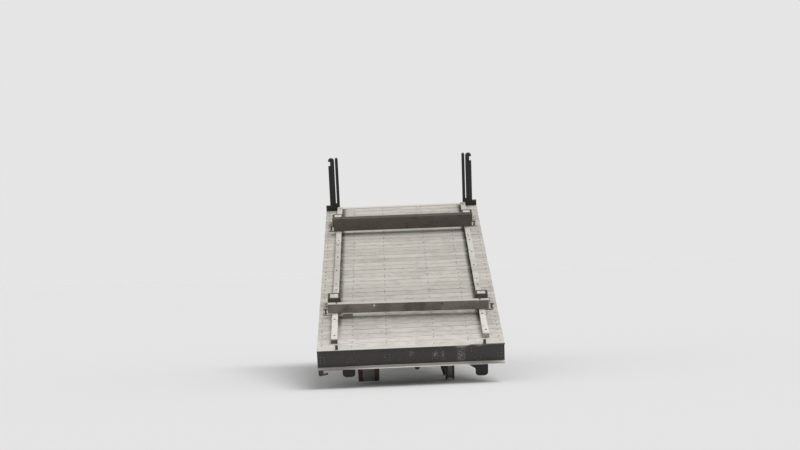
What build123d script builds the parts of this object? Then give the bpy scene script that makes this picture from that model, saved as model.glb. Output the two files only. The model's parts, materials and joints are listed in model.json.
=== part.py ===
"""Platform car of a funicular railway that carries road vehicles: a level timber deck on a wedge-shaped
steel underframe, two rail axles and a rail brake.

Millimetres. Z is square to the rails and Y runs along them, downhill positive. The deck is level on the
real slope, so it climbs towards +Y here. Deck pieces are set out by how far they lie along the deck from
its front edge and how far up from its top face.
"""

import os
from math import asin, cos, radians, sin

from build123d import *

# Slope of the line and the deck
incline = 19.73
deck_length = 7350.0
deck_width = 2960.0
deck_front_height = 577.0
board_thickness = 50.0
board_gap = 5.0
board_count = 38

# Rails, wheels and axles
rail_centre = 630.0
tread_radius = 300.0
flange_depth = 26.0
flange_thickness = 30.0
flanged_tread_width = 80.0
drum_width = 340.0
drum_inner_face = 520.0
rim_thickness = 34.0
wheel_web = 26.0
hub_radius = 105.0
hub_length = 180.0
spoke_count = 6
spoke_width = 56.0
spoke_window_margin = 18.0
front_axle_y = 1100.0
wheelbase = 4500.0
axle_radius = 55.0
axle_overhang = 22.0
journal_clearance = 0.05
box_width = 120.0
box_base = 260.0
box_base_thickness = 25.0
box_body = 176.0
box_low = 92.0
box_corner = 42.0

# Headstocks and deck frame
headstock_depth = 335.0
headstock_flange = 100.0
headstock_web = 10.0
headstock_rim = 16.0
lug_width = 42.0
lug_height = 80.0
lug_thickness = 16.0
lug_foot = 65.0
lug_edge_gap = 30.0
lug_curb_overlap = 15.0
end_iron_inner_gap = 10.0
end_iron_width = 150.0
end_iron_drop = 110.0
end_iron_bar = 80.0
end_iron_toe = 38.0
end_iron_corner = 22.0
end_iron_along = 40.0
sill_depth = 240.0
sill_web = 10.0
sill_rim = 13.0
side_sill_flange = 85.0
side_sill_inset = 20.0
centre_sill_flange = 106.0
truss_x = 375.0
stringer_x = 920.0
stringer_depth = 100.0
stringer_flange = 50.0
stringer_web = 6.0
stringer_rim = 8.0
bearer_stations = 10
bearer_flange = 70.0
bearer_wall = 9.0

# Wedge underframe
chord_bottom = 400.0
chord_depth = 160.0
chord_flange = 82.0
chord_web = 8.0
chord_rim = 12.0
chord_nose_y = 500.0
post_width = 60.0
post_depth = 120.0
post_wall = 8.0
angle_leg = 80.0
angle_wall = 10.0
brace_width = 60.0
brace_thickness = 8.0
tie_height = 60.0
raker_setback = 120.0
tail_bay = 600.0
raker_top_gap = 400.0
raker_brace_inset = 10.0
knee_leg = 70.0
knee_wall = 8.0
knee_foot_drop = 20.0
knee_head_rise = 60.0
diagonal_shift = 20.0
diagonal_overrun = 60.0
gusset_thickness = 10.0
gusset_reach = 190.0
gusset_rise = 165.0

# Curbs, chock beams and their clamps
curb_edge_gap = 220.0
curb_width = 110.0
curb_height = 80.0
curb_rear_gap = 200.0
timber_chamfer = 8.0
packing_inset = 150.0
packing_width = 160.0
packing_depth = 100.0
clamp_reach = 560.0
clamp_plate = 12.0
clamp_plate_width = 140.0
clamp_gap = 0.3
clamp_screw_radius = 12.0
clamp_screw_sides = 8
clamp_screw_from_end = 45.0
clamp_handle = 24.0
clamp_handle_length = 68.0
clamp_height = 100.0
clamp_block_rise = 100.0
clamp_block_low = 30.0
clamp_inner_cheek = 25.0
clamp_outer_cheek = 75.0

# Rear stanchions
stanchion_height = 1070.0
stanchion_rear_gap = 160.0
stanchion_edge_gap = 83.0
stanchion_main_width = 115.0
stanchion_notch_depth = 38.0
stanchion_notch_height = 95.0
stanchion_notch_drop = 65.0
stanchion_slot = 18.0
stanchion_bar_width = 55.0
stanchion_thickness = 60.0
stanchion_foot_height = 140.0
stanchion_toe = 80.0
stanchion_toe_height = 100.0

# Rail brake
brake_y = 2150.0
brake_plate = 12.0
brake_plate_length = 280.0
brake_plate_inner_reach = 40.0
hanger_gap = 2.0
hanger_top_half = 150.0
hanger_waist_half = 120.0
hanger_waist_rise = 30.0
hanger_low_half = 95.0
hanger_below_pivot = 45.0
hanger_window_width = 130.0
hanger_window_height = 60.0
jaw_thickness = 70.0
jaw_pivot_offset = 78.0
jaw_pivot_height = 150.0
jaw_eye_height = 330.0
jaw_half_width = 35.0
jaw_top_rise = 30.0
jaw_corner = 12.0
jaw_nose_gap = 38.0
jaw_nose_depth = 34.0
jaw_nose_drop = 20.0
jaw_nose_top = 24.0
jaw_back_low = 105.0
jaw_throat_height = 75.0
brake_pin_radius = 16.0
brake_pin_sides = 12
brake_pin_head = 22.0
brake_pin_head_length = 12.0
brake_screw_radius = 18.0
brake_screw_sides = 12
brake_screw_square = 24.0
brake_screw_end = 32.0
brake_nut_radius = 27.0
brake_nut_length = 34.0
brake_collar_radius = 30.0
brake_collar_length = 40.0
pin_clearance = 0.05

# Rope anchor and socket
rope_x = 95.0
rope_pin_y = 640.0
rope_pin_height = 240.0
rope_pin_radius = 16.0
anchor_setback = 100.0
anchor_flange = 55.0
anchor_depth = 100.0
anchor_wall = 10.0
eye_plate_thickness = 20.0
eye_plate_front = 30.0
eye_plate_back = 160.0
eye_plate_weld = 5.0
eye_radius = 45.0
socket_pin_gap = 60.0
socket_length = 250.0
socket_basket_radius = 44.0
socket_basket_length = 130.0
socket_neck_radius = 31.0
socket_sides = 16
rope_bore_radius = 15.0
rope_bore_depth = 60.0
clevis_gap = 1.0
clevis_cheek = 16.0
clevis_depth = 70.0
clevis_behind_pin = 80.0
clevis_beyond_pin = 35.0
clevis_corner = 18.0
clevis_head_radius = 24.0
clevis_head_length = 12.0

# Front knee brackets under the headstock
bracket_thickness = 12.0
bracket_top = 180.0
bracket_inner_drop = 20.0
bracket_corner = 60.0
bracket_corner_cut = 18.0
bracket_low_width = 135.0
bracket_heel_width = 200.0
bracket_heel_rise = 60.0
bracket_heel_top = 120.0

os.makedirs("parts", exist_ok=True)

slope_sin = sin(radians(incline))
slope_cos = cos(radians(incline))
car_length = deck_length * slope_cos + headstock_depth * slope_sin
front_y = -car_length / 2
rail_z = flange_depth
deck_origin = (0, front_y, rail_z + deck_front_height)
frame_start = headstock_flange
frame_end = deck_length - headstock_flange
chord_top = chord_bottom + chord_depth
raker_y = deck_length * slope_cos - raker_setback
chord_tail_y = raker_y + post_depth / 2
sill_bottom = board_thickness + sill_depth
rear_axle_y = front_axle_y + wheelbase
board_pitch = (frame_end - frame_start) / board_count
curb_outer_x = deck_width / 2 - curb_edge_gap
curb_inner_x = curb_outer_x - curb_width
curb_front = frame_start + board_pitch
stanchion_outer_x = deck_width / 2 - stanchion_edge_gap
stanchion_along = deck_length - stanchion_rear_gap


def deck_plane(up):
    """Plane parallel to the deck: x across, y along."""
    origin = Vector(*deck_origin) + Vector(0, -slope_sin, slope_cos) * up
    return Plane(origin=origin, x_dir=(1, 0, 0), z_dir=(0, -slope_sin, slope_cos))


def rib_plane(along):
    """Plumb plane across the deck, facing uphill: x across, y up."""
    origin = Vector(*deck_origin) + Vector(0, slope_cos, slope_sin) * along
    return Plane(origin=origin, x_dir=(1, 0, 0), z_dir=(0, -slope_cos, -slope_sin))


def side_plane(across):
    """Plumb plane along the deck, facing +X: x along, y up."""
    origin = Vector(across, deck_origin[1], deck_origin[2])
    return Plane(origin=origin, x_dir=(0, slope_cos, slope_sin), z_dir=(1, 0, 0))


def track_side_plane(across):
    """Plane along the rails, facing +X: x downhill from the front edge, y up from the rails."""
    return Plane(origin=(across, front_y, rail_z), x_dir=(0, 1, 0), z_dir=(1, 0, 0))


def track_cross_plane(downhill):
    """Plane square to the rails, facing uphill: x across, y up from the rails."""
    origin = (0, front_y + downhill, rail_z)
    return Plane(origin=origin, x_dir=(1, 0, 0), z_dir=(0, -1, 0))


def on_deck_frame(downhill, height):
    """Along and up on the deck of a point given along and above the rails."""
    along = downhill * slope_cos + (height - deck_front_height) * slope_sin
    up = -downhill * slope_sin + (height - deck_front_height) * slope_cos
    return along, up


def channel(back, middle, flange, depth, web, rim, faces):
    """Channel section: back of its web at x = back, its flanges towards x * faces."""
    align = (Align.MIN if faces > 0 else Align.MAX, Align.CENTER)
    with Locations((back, middle)):
        Rectangle(flange, depth, align=align)
    with Locations((back + faces * web, middle)):
        Rectangle(flange, depth - 2 * rim, align=align, mode=Mode.SUBTRACT)


def i_section(centre, middle, flange, depth, web, rim):
    """I section about (centre, middle)."""
    with Locations((centre, middle)):
        Rectangle(flange, depth)
    recess = (flange - web) / 2
    for hand in (-1, 1):
        with Locations((centre + hand * (web + recess) / 2, middle)):
            Rectangle(recess, depth - 2 * rim, mode=Mode.SUBTRACT)


def strip(start, end, width):
    """Bar of a given width in the sketch's plane, from one point to another."""
    run = Vector(*end) - Vector(*start)
    middle = (Vector(*start) + Vector(*end)) * 0.5
    turn = Vector(1, 0, 0).get_signed_angle(run, Vector(0, 0, 1))
    with Locations(Location((middle.X, middle.Y, 0), (0, 0, turn))):
        Rectangle(run.length, width)


def save(builder, label):
    """Name the finished piece and write it."""
    builder.part.label = label
    export_step(builder.part, f"parts/{label}.step")


# Headstocks: deep channels across both ends, flanges outward
for name, back, faces in (
    ("headstock_front", headstock_flange, -1),
    ("headstock_rear", deck_length - headstock_flange, 1),
):
    with BuildPart() as headstock:
        with BuildSketch(side_plane(-deck_width / 2)):
            channel(
                back,
                -headstock_depth / 2,
                headstock_flange,
                headstock_depth,
                headstock_web,
                headstock_rim,
                faces,
            )
        extrude(amount=deck_width)
        if faces < 0:
            # Upright lugs on the top flange, in line with the curbs
            for hand in (-1, 1):
                lug_side = hand * (curb_inner_x + lug_curb_overlap) - lug_width / 2
                with BuildSketch(side_plane(lug_side)):
                    with BuildLine():
                        Polyline(
                            (lug_edge_gap, 0),
                            (lug_edge_gap, lug_height),
                            (lug_edge_gap + lug_thickness, lug_height),
                            (lug_edge_gap + lug_thickness, lug_thickness),
                            (lug_edge_gap + lug_foot, lug_thickness),
                            (lug_edge_gap + lug_foot, 0),
                            close=True,
                        )
                    make_face()
                extrude(amount=lug_width)

            # Hooked iron under the left end of the bottom flange
            iron_left = -deck_width / 2 + end_iron_inner_gap
            iron_low = -headstock_depth - end_iron_drop
            with BuildSketch(rib_plane(end_iron_along)):
                with BuildLine():
                    Polyline(
                        (iron_left, -headstock_depth),
                        (iron_left, iron_low + end_iron_corner),
                        (iron_left + end_iron_corner, iron_low),
                        (iron_left + end_iron_width, iron_low + end_iron_corner),
                        (iron_left + end_iron_width, iron_low + end_iron_corner + end_iron_toe),
                        (iron_left + end_iron_bar, iron_low + end_iron_toe),
                        (iron_left + end_iron_bar, -headstock_depth),
                        close=True,
                    )
                make_face()
            extrude(amount=-lug_thickness)
    save(headstock, name)

# Side sills: channels along both edges, flanges inward
frame_length = frame_end - frame_start
sill_middle = -(board_thickness + sill_depth / 2)
side_sill_x = deck_width / 2 - side_sill_inset
for name, hand in (("left", -1), ("right", 1)):
    with BuildPart() as side_sill:
        with BuildSketch(rib_plane(frame_start)):
            channel(
                hand * side_sill_x,
                sill_middle,
                side_sill_flange,
                sill_depth,
                sill_web,
                sill_rim,
                -hand,
            )
        extrude(amount=-frame_length)
    save(side_sill, f"side_sill_{name}")

    # Centre sills: I beams over the wedge trusses
    with BuildPart() as centre_sill:
        with BuildSketch(rib_plane(frame_start)):
            i_section(
                hand * truss_x,
                sill_middle,
                centre_sill_flange,
                sill_depth,
                sill_web,
                sill_rim,
            )
        extrude(amount=-frame_length)
    save(centre_sill, f"centre_sill_{name}")

    # Stringers: light I beams under the boards, below the road wheels' paths
    with BuildPart() as stringer:
        with BuildSketch(rib_plane(frame_start)):
            i_section(
                hand * stringer_x,
                -(board_thickness + stringer_depth / 2),
                stringer_flange,
                stringer_depth,
                stringer_web,
                stringer_rim,
            )
        extrude(amount=-frame_length)
    save(stringer, f"stringer_{name}")

# Cross bearers: angles framed between the sills, three lengths at each station
bearer_pitch = frame_length / bearer_stations
bearer_top = board_thickness + stringer_depth
bearer_depth = sill_bottom - sill_rim - bearer_top
outer_bay = (truss_x + sill_web / 2, side_sill_x - sill_web)
bearer_bays = (
    (-outer_bay[1], -outer_bay[0]),
    (-(truss_x - sill_web / 2), truss_x - sill_web / 2),
    outer_bay,
)
with BuildPart() as cross_bearers:
    for start, end in bearer_bays:
        with BuildSketch(side_plane(start)):
            for index in range(bearer_stations):
                bearer_back = frame_start + (index + 0.5) * bearer_pitch
                with Locations((bearer_back, -bearer_top)):
                    Rectangle(bearer_wall, bearer_depth, align=(Align.MIN, Align.MAX))
                    Rectangle(bearer_flange, bearer_wall, align=(Align.MIN, Align.MAX))
        extrude(amount=end - start)
save(cross_bearers, "cross_bearers")

# Deck boards, laid across
with BuildPart() as deck_boards:
    with BuildSketch(deck_plane(-board_thickness)):
        for index in range(board_count):
            with Locations((0, frame_start + (index + 0.5) * board_pitch)):
                Rectangle(deck_width, board_pitch - board_gap)
    extrude(amount=board_thickness)
save(deck_boards, "deck_boards")

# Guide curbs along both sides of the deck, from the second board on
curb_end = deck_length - curb_rear_gap
for name, hand in (("left", -1), ("right", 1)):
    with BuildPart() as curb:
        with BuildSketch(rib_plane(curb_front)):
            with Locations((hand * (curb_inner_x + curb_width / 2), curb_height / 2)):
                Rectangle(curb_width, curb_height)
        extrude(amount=-(curb_end - curb_front))
        chamfer(curb.edges(), length=timber_chamfer)
    save(curb, f"curb_{name}")

# Chock beams: square timbers laid across the curbs
# name, middle of its front face along the deck, turn on the deck in degrees, depth, height,
# end beyond the curb, packing block
chock_table = (
    ("front", 1360.0, -2.0, 100.0, 160.0, 65.0, True),
    ("rear", 5625.0, -0.6, 160.0, 240.0, 40.0, False),
)
for name, face, turn, depth, height, end_beyond, packed in chock_table:
    reach = curb_outer_x + end_beyond
    with BuildPart() as chock_beam:
        with BuildSketch(deck_plane(curb_height)):
            with Locations((0, face + depth / 2)):
                Rectangle(2 * reach, depth, rotation=turn)
        extrude(amount=height)
        chamfer(chock_beam.edges(), length=timber_chamfer)
        if packed:
            # Block that carries the beam between the curbs
            with BuildSketch(deck_plane(0)):
                with Locations((packing_inset - curb_inner_x, face + depth / 2)):
                    Rectangle(packing_width, packing_depth)
            extrude(amount=curb_height + timber_chamfer)
    save(chock_beam, f"chock_beam_{name}")

# Curb clamps: a strapped block over the curb on a plate that also carries a T-handled screw
# name, side, start of its plate along the deck, start of its block, block's length,
# screw in from the plate's outer edge
clamp_table = (
    ("front_left", -1, 1532.0, 1842.0, 247.0, 32.0),
    ("front_right", 1, 1489.0, 1760.0, 190.0, 15.0),
    ("rear_left", -1, 5877.0, 6109.0, 270.0, 45.0),
    ("rear_right", 1, 5855.0, 6081.0, 270.0, 45.0),
)
plate_x = curb_outer_x + clamp_gap + clamp_plate_width / 2
block_inner_x = curb_inner_x - clamp_gap - clamp_inner_cheek
block_outer_x = curb_outer_x + clamp_gap + clamp_outer_cheek
block_top = curb_height + clamp_block_rise
for name, hand, plate_start, block_start, block_length, screw_inset in clamp_table:
    screw_x = plate_x + clamp_plate_width / 2 - screw_inset
    screw_along = plate_start + clamp_screw_from_end
    with BuildPart() as clamp:
        with BuildSketch(deck_plane(0)):
            with Locations((hand * plate_x, plate_start + clamp_reach / 2)):
                Rectangle(clamp_plate_width, clamp_reach)
        extrude(amount=clamp_plate)
        with BuildSketch(deck_plane(clamp_plate / 2)):
            with Locations((hand * screw_x, screw_along)):
                RegularPolygon(radius=clamp_screw_radius, side_count=clamp_screw_sides)
        extrude(amount=clamp_height - clamp_handle - clamp_plate / 2)
        with BuildSketch(side_plane(hand * screw_x - clamp_handle_length / 2)):
            with Locations((screw_along, clamp_height - clamp_handle / 2)):
                Rectangle(clamp_handle, clamp_handle)
        extrude(amount=clamp_handle_length)
        with BuildSketch(rib_plane(block_start)):
            with BuildLine():
                Polyline(
                    (hand * block_inner_x, clamp_block_low),
                    (hand * block_inner_x, block_top),
                    (hand * block_outer_x, block_top),
                    (hand * block_outer_x, 0),
                    (hand * (curb_outer_x + clamp_gap), 0),
                    (hand * (curb_outer_x + clamp_gap), curb_height),
                    (hand * (curb_inner_x - clamp_gap), curb_height),
                    (hand * (curb_inner_x - clamp_gap), clamp_block_low),
                    close=True,
                )
            make_face()
        extrude(amount=-block_length)
    save(clamp, f"curb_clamp_{name}")

# Rear stanchions: a broad post and a slim bar side by side, with rounded crowns, on one foot
for name, hand in (("left", -1), ("right", 1)):
    main_x = stanchion_outer_x - stanchion_main_width / 2
    bar_x = stanchion_outer_x - stanchion_main_width - stanchion_slot - stanchion_bar_width / 2
    foot_width = stanchion_main_width + stanchion_slot + stanchion_bar_width
    with BuildPart() as stanchion:
        with BuildSketch(rib_plane(stanchion_along - stanchion_thickness / 2)):
            for x, width in (
                (main_x, stanchion_main_width),
                (bar_x, stanchion_bar_width),
            ):
                with Locations((hand * x, (stanchion_height - width / 2) / 2)):
                    Rectangle(width, stanchion_height - width / 2)
                with Locations((hand * x, stanchion_height - width / 2)):
                    Circle(width / 2)
            # Notch in the broad post's outer side, under its crown
            notch_x = stanchion_outer_x - stanchion_notch_depth / 2
            notch_middle = stanchion_height - stanchion_notch_drop - stanchion_notch_height / 2
            with Locations((hand * notch_x, notch_middle)):
                Rectangle(stanchion_notch_depth, stanchion_notch_height, mode=Mode.SUBTRACT)
            foot_middle = hand * (stanchion_outer_x - foot_width / 2)
            with Locations((foot_middle, stanchion_foot_height / 2)):
                Rectangle(foot_width, stanchion_foot_height)
            with Locations((hand * (stanchion_outer_x + stanchion_toe / 2), stanchion_toe_height / 2)):
                Rectangle(stanchion_toe, stanchion_toe_height)
        extrude(amount=-stanchion_thickness)
    save(stanchion, f"stanchion_{name}")

# Lower chords: I beams parallel to the rails, their noses cut to the centre sills' slope
sill_underside = deck_plane(-sill_bottom)
for name, hand in (("left", -1), ("right", 1)):
    with BuildPart() as lower_chord:
        with BuildSketch(track_cross_plane(chord_nose_y)):
            i_section(
                hand * truss_x,
                chord_bottom + chord_depth / 2,
                chord_flange,
                chord_depth,
                chord_web,
                chord_rim,
            )
        extrude(amount=-(chord_tail_y - chord_nose_y))
        split(bisect_by=sill_underside, keep=Keep.BOTTOM)
    save(lower_chord, f"lower_chord_{name}")

# Trestles: a plumb post on each chord, gussets at its foot and head, and cross bracing
# station, foot's distance downhill, crossed braces
trestle_table = (
    (1, 2500.0, False),
    (2, 4350.0, True),
    (3, raker_y - tail_bay, True),
)
chord_top_plane = Plane(origin=(0, 0, rail_z + chord_top), z_dir=(0, 0, 1))
post_inner_x = truss_x - post_width / 2
post_outer_x = truss_x + post_width / 2
tie_reach = post_outer_x - post_wall
chord_fall = gusset_reach * slope_sin / slope_cos
for station, foot_y, crossed in trestle_table:
    foot_along, foot_up = on_deck_frame(foot_y, chord_top)
    post_edges = (foot_along - post_depth / 2, foot_along + post_depth / 2)
    with BuildPart() as trestle:
        with BuildSketch(deck_plane(foot_up - post_depth)):
            for hand in (-1, 1):
                channel(
                    hand * post_outer_x,
                    foot_along,
                    post_width,
                    post_depth,
                    post_wall,
                    post_wall,
                    -hand,
                )
        extrude(amount=post_depth - foot_up - sill_bottom)
        tie_up = foot_up + tie_height
        with BuildSketch(rib_plane(foot_along - brace_thickness / 2)):
            with Locations((0, tie_up + tie_height / 2)):
                Rectangle(2 * tie_reach, tie_height)
            with Locations((0, -sill_bottom - tie_height / 2)):
                Rectangle(2 * tie_reach, tie_height)
            if crossed:
                reach = tie_reach - brace_width / 2
                low = tie_up + tie_height
                high = -sill_bottom - tie_height
                strip((-reach, low), (reach, high), brace_width)
                strip((reach, low), (-reach, high), brace_width)
        extrude(amount=-brace_thickness)
        for gusset_x in (-post_inner_x, post_inner_x - gusset_thickness):
            with BuildSketch(side_plane(gusset_x)):
                with BuildLine():
                    Polyline(
                        (foot_along - gusset_reach, foot_up + chord_fall - gusset_thickness),
                        (post_edges[0], foot_up + gusset_rise),
                        (post_edges[1], foot_up + gusset_rise),
                        (foot_along + gusset_reach, foot_up - chord_fall - gusset_thickness),
                        close=True,
                    )
                make_face()
                with BuildLine():
                    Polyline(
                        (foot_along - gusset_reach, -sill_bottom),
                        (post_edges[0], -sill_bottom - gusset_rise),
                        (post_edges[1], -sill_bottom - gusset_rise),
                        (foot_along + gusset_reach, -sill_bottom),
                        close=True,
                    )
                make_face()
            extrude(amount=gusset_thickness)
        split(bisect_by=chord_top_plane, keep=Keep.TOP)
    save(trestle, f"trestle_{station}")

    # Knee struts: angles from the post foot out to the side sill
    if crossed:
        for name, hand in (("left", -1), ("right", 1)):
            strut_foot = (hand * truss_x, foot_up - knee_foot_drop)
            strut_head = (hand * (side_sill_x - side_sill_flange / 2), knee_head_rise - sill_bottom)
            strut_back = post_edges[0] - knee_wall
            run = Vector(*strut_head) - Vector(*strut_foot)
            edge = run.normalized().rotate(Axis.Z, hand * 90) * (knee_leg - knee_wall) / 2
            with BuildPart() as knee_strut:
                with BuildSketch(rib_plane(strut_back)):
                    strip(strut_foot, strut_head, knee_leg)
                extrude(amount=-knee_wall)
                with BuildSketch(rib_plane(strut_back)):
                    strip(
                        (strut_foot[0] - edge.X, strut_foot[1] - edge.Y),
                        (strut_head[0] - edge.X, strut_head[1] - edge.Y),
                        knee_wall,
                    )
                extrude(amount=knee_leg - knee_wall)
                split(bisect_by=chord_top_plane, keep=Keep.TOP)
                split(bisect_by=sill_underside, keep=Keep.BOTTOM)
                split(
                    bisect_by=Plane(origin=(hand * post_inner_x, 0, 0), z_dir=(hand, 0, 0)),
                    keep=Keep.TOP,
                )
            save(knee_strut, f"knee_strut_{station}_{name}")

# Diagonals: angles on the outer faces of the posts, from one foot to the next head
for number, (lower, upper) in enumerate(zip(trestle_table, trestle_table[1:]), 1):
    start_along, start_up = on_deck_frame(lower[1], chord_top)
    end_along, _ = on_deck_frame(upper[1], chord_top)
    start = Vector(start_along + diagonal_shift, start_up - diagonal_overrun)
    end = Vector(end_along - diagonal_shift, diagonal_overrun - sill_bottom)
    edge = (end - start).normalized().rotate(Axis.Z, -90) * (angle_leg - angle_wall) / 2
    for name, hand in (("left", -1), ("right", 1)):
        web_x = post_outer_x if hand > 0 else -post_outer_x - angle_wall
        leg_x = post_outer_x if hand > 0 else -post_outer_x - angle_leg
        with BuildPart() as diagonal:
            with BuildSketch(side_plane(web_x)):
                strip(start, end, angle_leg)
            extrude(amount=angle_wall)
            with BuildSketch(side_plane(leg_x)):
                strip(start + edge, end + edge, angle_wall)
            extrude(amount=angle_leg)
            split(bisect_by=chord_top_plane, keep=Keep.TOP)
            split(bisect_by=sill_underside, keep=Keep.BOTTOM)
        save(diagonal, f"diagonal_{number}_{name}")

# Rear rakers: channels from the chord tails up to the ends of the centre sills
raker_head = deck_front_height + (raker_y * slope_sin - sill_bottom) / slope_cos
raker_low = chord_top + tie_height
raker_high = raker_head - raker_top_gap
raker_middle = (raker_low + raker_high) / 2
with BuildPart() as rear_rakers:
    with BuildSketch(Plane(origin=(0, front_y + raker_y, rail_z + chord_top), z_dir=(0, 0, 1))):
        for hand in (-1, 1):
            channel(
                hand * post_outer_x,
                0,
                post_width,
                post_depth,
                post_wall,
                post_wall,
                -hand,
            )
    extrude(amount=deck_length * slope_sin)
    with BuildSketch(track_cross_plane(raker_y - brace_thickness / 2)):
        for height in (raker_low, raker_middle, raker_high):
            with Locations((0, height + tie_height / 2)):
                Rectangle(2 * tie_reach, tie_height)
        brace_reach = tie_reach - raker_brace_inset
        for low, high in ((raker_low, raker_middle), (raker_middle, raker_high)):
            for hand in (-1, 1):
                strip(
                    (-hand * brace_reach, low + tie_height),
                    (hand * brace_reach, high),
                    brace_width,
                )
    extrude(amount=-brace_thickness)
    split(bisect_by=sill_underside, keep=Keep.BOTTOM)
save(rear_rakers, "rear_rakers")

# Rope anchor: a beam between the chords with a hanging eye plate for the rope's socket
chord_inner = truss_x - chord_web / 2
anchor_low = chord_bottom + chord_rim
with BuildPart() as rope_anchor:
    with BuildSketch(track_side_plane(-chord_inner)):
        channel(
            rope_pin_y + anchor_setback,
            anchor_low + anchor_depth / 2,
            anchor_flange,
            anchor_depth,
            anchor_wall,
            anchor_wall,
            -1,
        )
    extrude(amount=2 * chord_inner)
    with BuildSketch(track_side_plane(rope_x - eye_plate_thickness / 2)):
        with BuildLine():
            Polyline(
                (rope_pin_y + eye_radius, rope_pin_height),
                (rope_pin_y + eye_plate_back, anchor_low + eye_plate_weld),
                (rope_pin_y + eye_plate_front, anchor_low + eye_plate_weld),
                (rope_pin_y - eye_radius, rope_pin_height + eye_radius),
                (rope_pin_y - eye_radius, rope_pin_height),
            )
            ThreePointArc(
                (rope_pin_y - eye_radius, rope_pin_height),
                (rope_pin_y, rope_pin_height - eye_radius),
                (rope_pin_y + eye_radius, rope_pin_height),
            )
        make_face()
        with Locations((rope_pin_y, rope_pin_height)):
            Circle(rope_pin_radius + pin_clearance, mode=Mode.SUBTRACT)
    extrude(amount=eye_plate_thickness)
save(rope_anchor, "rope_anchor")

# Rope socket: a basket and neck for the rope's end with a clevis and its headed pin, mouth uphill
socket_base_y = rope_pin_y - socket_pin_gap
with BuildPart() as rope_socket:
    for radius, length in ((socket_basket_radius, socket_basket_length), (socket_neck_radius, socket_length)):
        with BuildSketch(track_cross_plane(socket_base_y)):
            with Locations((rope_x, rope_pin_height)):
                RegularPolygon(radius=radius, side_count=socket_sides)
        extrude(amount=length)
    with BuildSketch(track_cross_plane(socket_base_y - socket_length)):
        with Locations((rope_x, rope_pin_height)):
            Circle(rope_bore_radius)
    extrude(amount=-rope_bore_depth, mode=Mode.SUBTRACT)
    inner_face = eye_plate_thickness / 2 + clevis_gap
    for cheek_x in (rope_x - inner_face - clevis_cheek, rope_x + inner_face):
        with BuildSketch(track_side_plane(cheek_x)):
            with BuildLine():
                Polyline(
                    (rope_pin_y - clevis_behind_pin, rope_pin_height - clevis_depth / 2),
                    (rope_pin_y - clevis_behind_pin, rope_pin_height + clevis_depth / 2),
                    (rope_pin_y + clevis_corner, rope_pin_height + clevis_depth / 2),
                    (rope_pin_y + clevis_beyond_pin, rope_pin_height + clevis_corner),
                    (rope_pin_y + clevis_beyond_pin, rope_pin_height - clevis_corner),
                    (rope_pin_y + clevis_corner, rope_pin_height - clevis_depth / 2),
                    close=True,
                )
            make_face()
        extrude(amount=clevis_cheek)
    with BuildSketch(track_side_plane(rope_x - inner_face)):
        with Locations((rope_pin_y, rope_pin_height)):
            Circle(rope_pin_radius)
    extrude(amount=2 * inner_face)
    outer_face = inner_face + clevis_cheek
    for head_x in (rope_x - outer_face - clevis_head_length, rope_x + outer_face):
        with BuildSketch(track_side_plane(head_x)):
            with Locations((rope_pin_y, rope_pin_height)):
                RegularPolygon(radius=clevis_head_radius, side_count=6)
        extrude(amount=clevis_head_length)
save(rope_socket, "rope_socket")

# Front knee brackets: plates on the back of the headstock that hang below it
# name, side, distance in from the deck's edge, width, drop below the headstock
bracket_table = (
    ("left", -1, 390.0, 270.0, 170.0),
    ("right", 1, 265.0, 335.0, 235.0),
)
for name, hand, edge_gap, width, drop in bracket_table:
    outer_x = deck_width / 2 - edge_gap
    inner_x = outer_x - width
    bracket_low = -(headstock_depth + drop)
    with BuildPart() as knee_bracket:
        with BuildSketch(rib_plane(frame_start)):
            with BuildLine():
                Polyline(
                    (hand * inner_x, -bracket_top),
                    (hand * outer_x, -bracket_top),
                    (hand * outer_x, bracket_low + bracket_corner),
                    (hand * (outer_x - bracket_corner_cut), bracket_low + bracket_corner_cut),
                    (hand * (outer_x - bracket_corner), bracket_low),
                    (hand * (outer_x - bracket_low_width), bracket_low),
                    (hand * (outer_x - bracket_heel_width), bracket_low + bracket_heel_rise),
                    (hand * (outer_x - bracket_heel_width), bracket_low + bracket_heel_top),
                    (hand * inner_x, -headstock_depth - bracket_inner_drop),
                    close=True,
                )
            make_face()
        extrude(amount=-bracket_thickness)
    save(knee_bracket, f"knee_bracket_{name}")

# Axle boxes: bearing castings under the chords
for name, axle_y in (("front", front_axle_y), ("rear", rear_axle_y)):
    with BuildPart() as axle_boxes:
        for hand in (-1, 1):
            with BuildSketch(track_side_plane(hand * truss_x - box_width / 2)):
                with Locations((axle_y, chord_bottom - box_base_thickness / 2)):
                    Rectangle(box_base, box_base_thickness)
                with BuildLine():
                    Polyline(
                        (axle_y - box_body / 2, chord_bottom - box_base_thickness),
                        (axle_y - box_body / 2, tread_radius - box_low + box_corner),
                        (axle_y - box_body / 2 + box_corner, tread_radius - box_low),
                        (axle_y + box_body / 2 - box_corner, tread_radius - box_low),
                        (axle_y + box_body / 2, tread_radius - box_low + box_corner),
                        (axle_y + box_body / 2, chord_bottom - box_base_thickness),
                        close=True,
                    )
                make_face()
                with Locations((axle_y, tread_radius)):
                    Circle(axle_radius + journal_clearance, mode=Mode.SUBTRACT)
            extrude(amount=box_width)
    save(axle_boxes, f"axle_boxes_{name}")


def wheel_section(centre, width, web_centre, hub_centre):
    """Half section of a wheel's rim, web and hub: x across, y out from the axle."""
    with Locations((centre, tread_radius - rim_thickness / 2)):
        Rectangle(width, rim_thickness)
    with Locations((web_centre, (axle_radius + rim_inner) / 2)):
        Rectangle(wheel_web, rim_inner - axle_radius)
    with Locations((hub_centre, (axle_radius + hub_radius) / 2)):
        Rectangle(hub_length, hub_radius - axle_radius)


def window_corner(radius, hand):
    """Corner of the window between two spokes, at a distance from the axle."""
    turn = radians(180 / spoke_count) - asin(spoke_width / 2 / radius)
    return radius * cos(turn), hand * radius * sin(turn)


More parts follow.
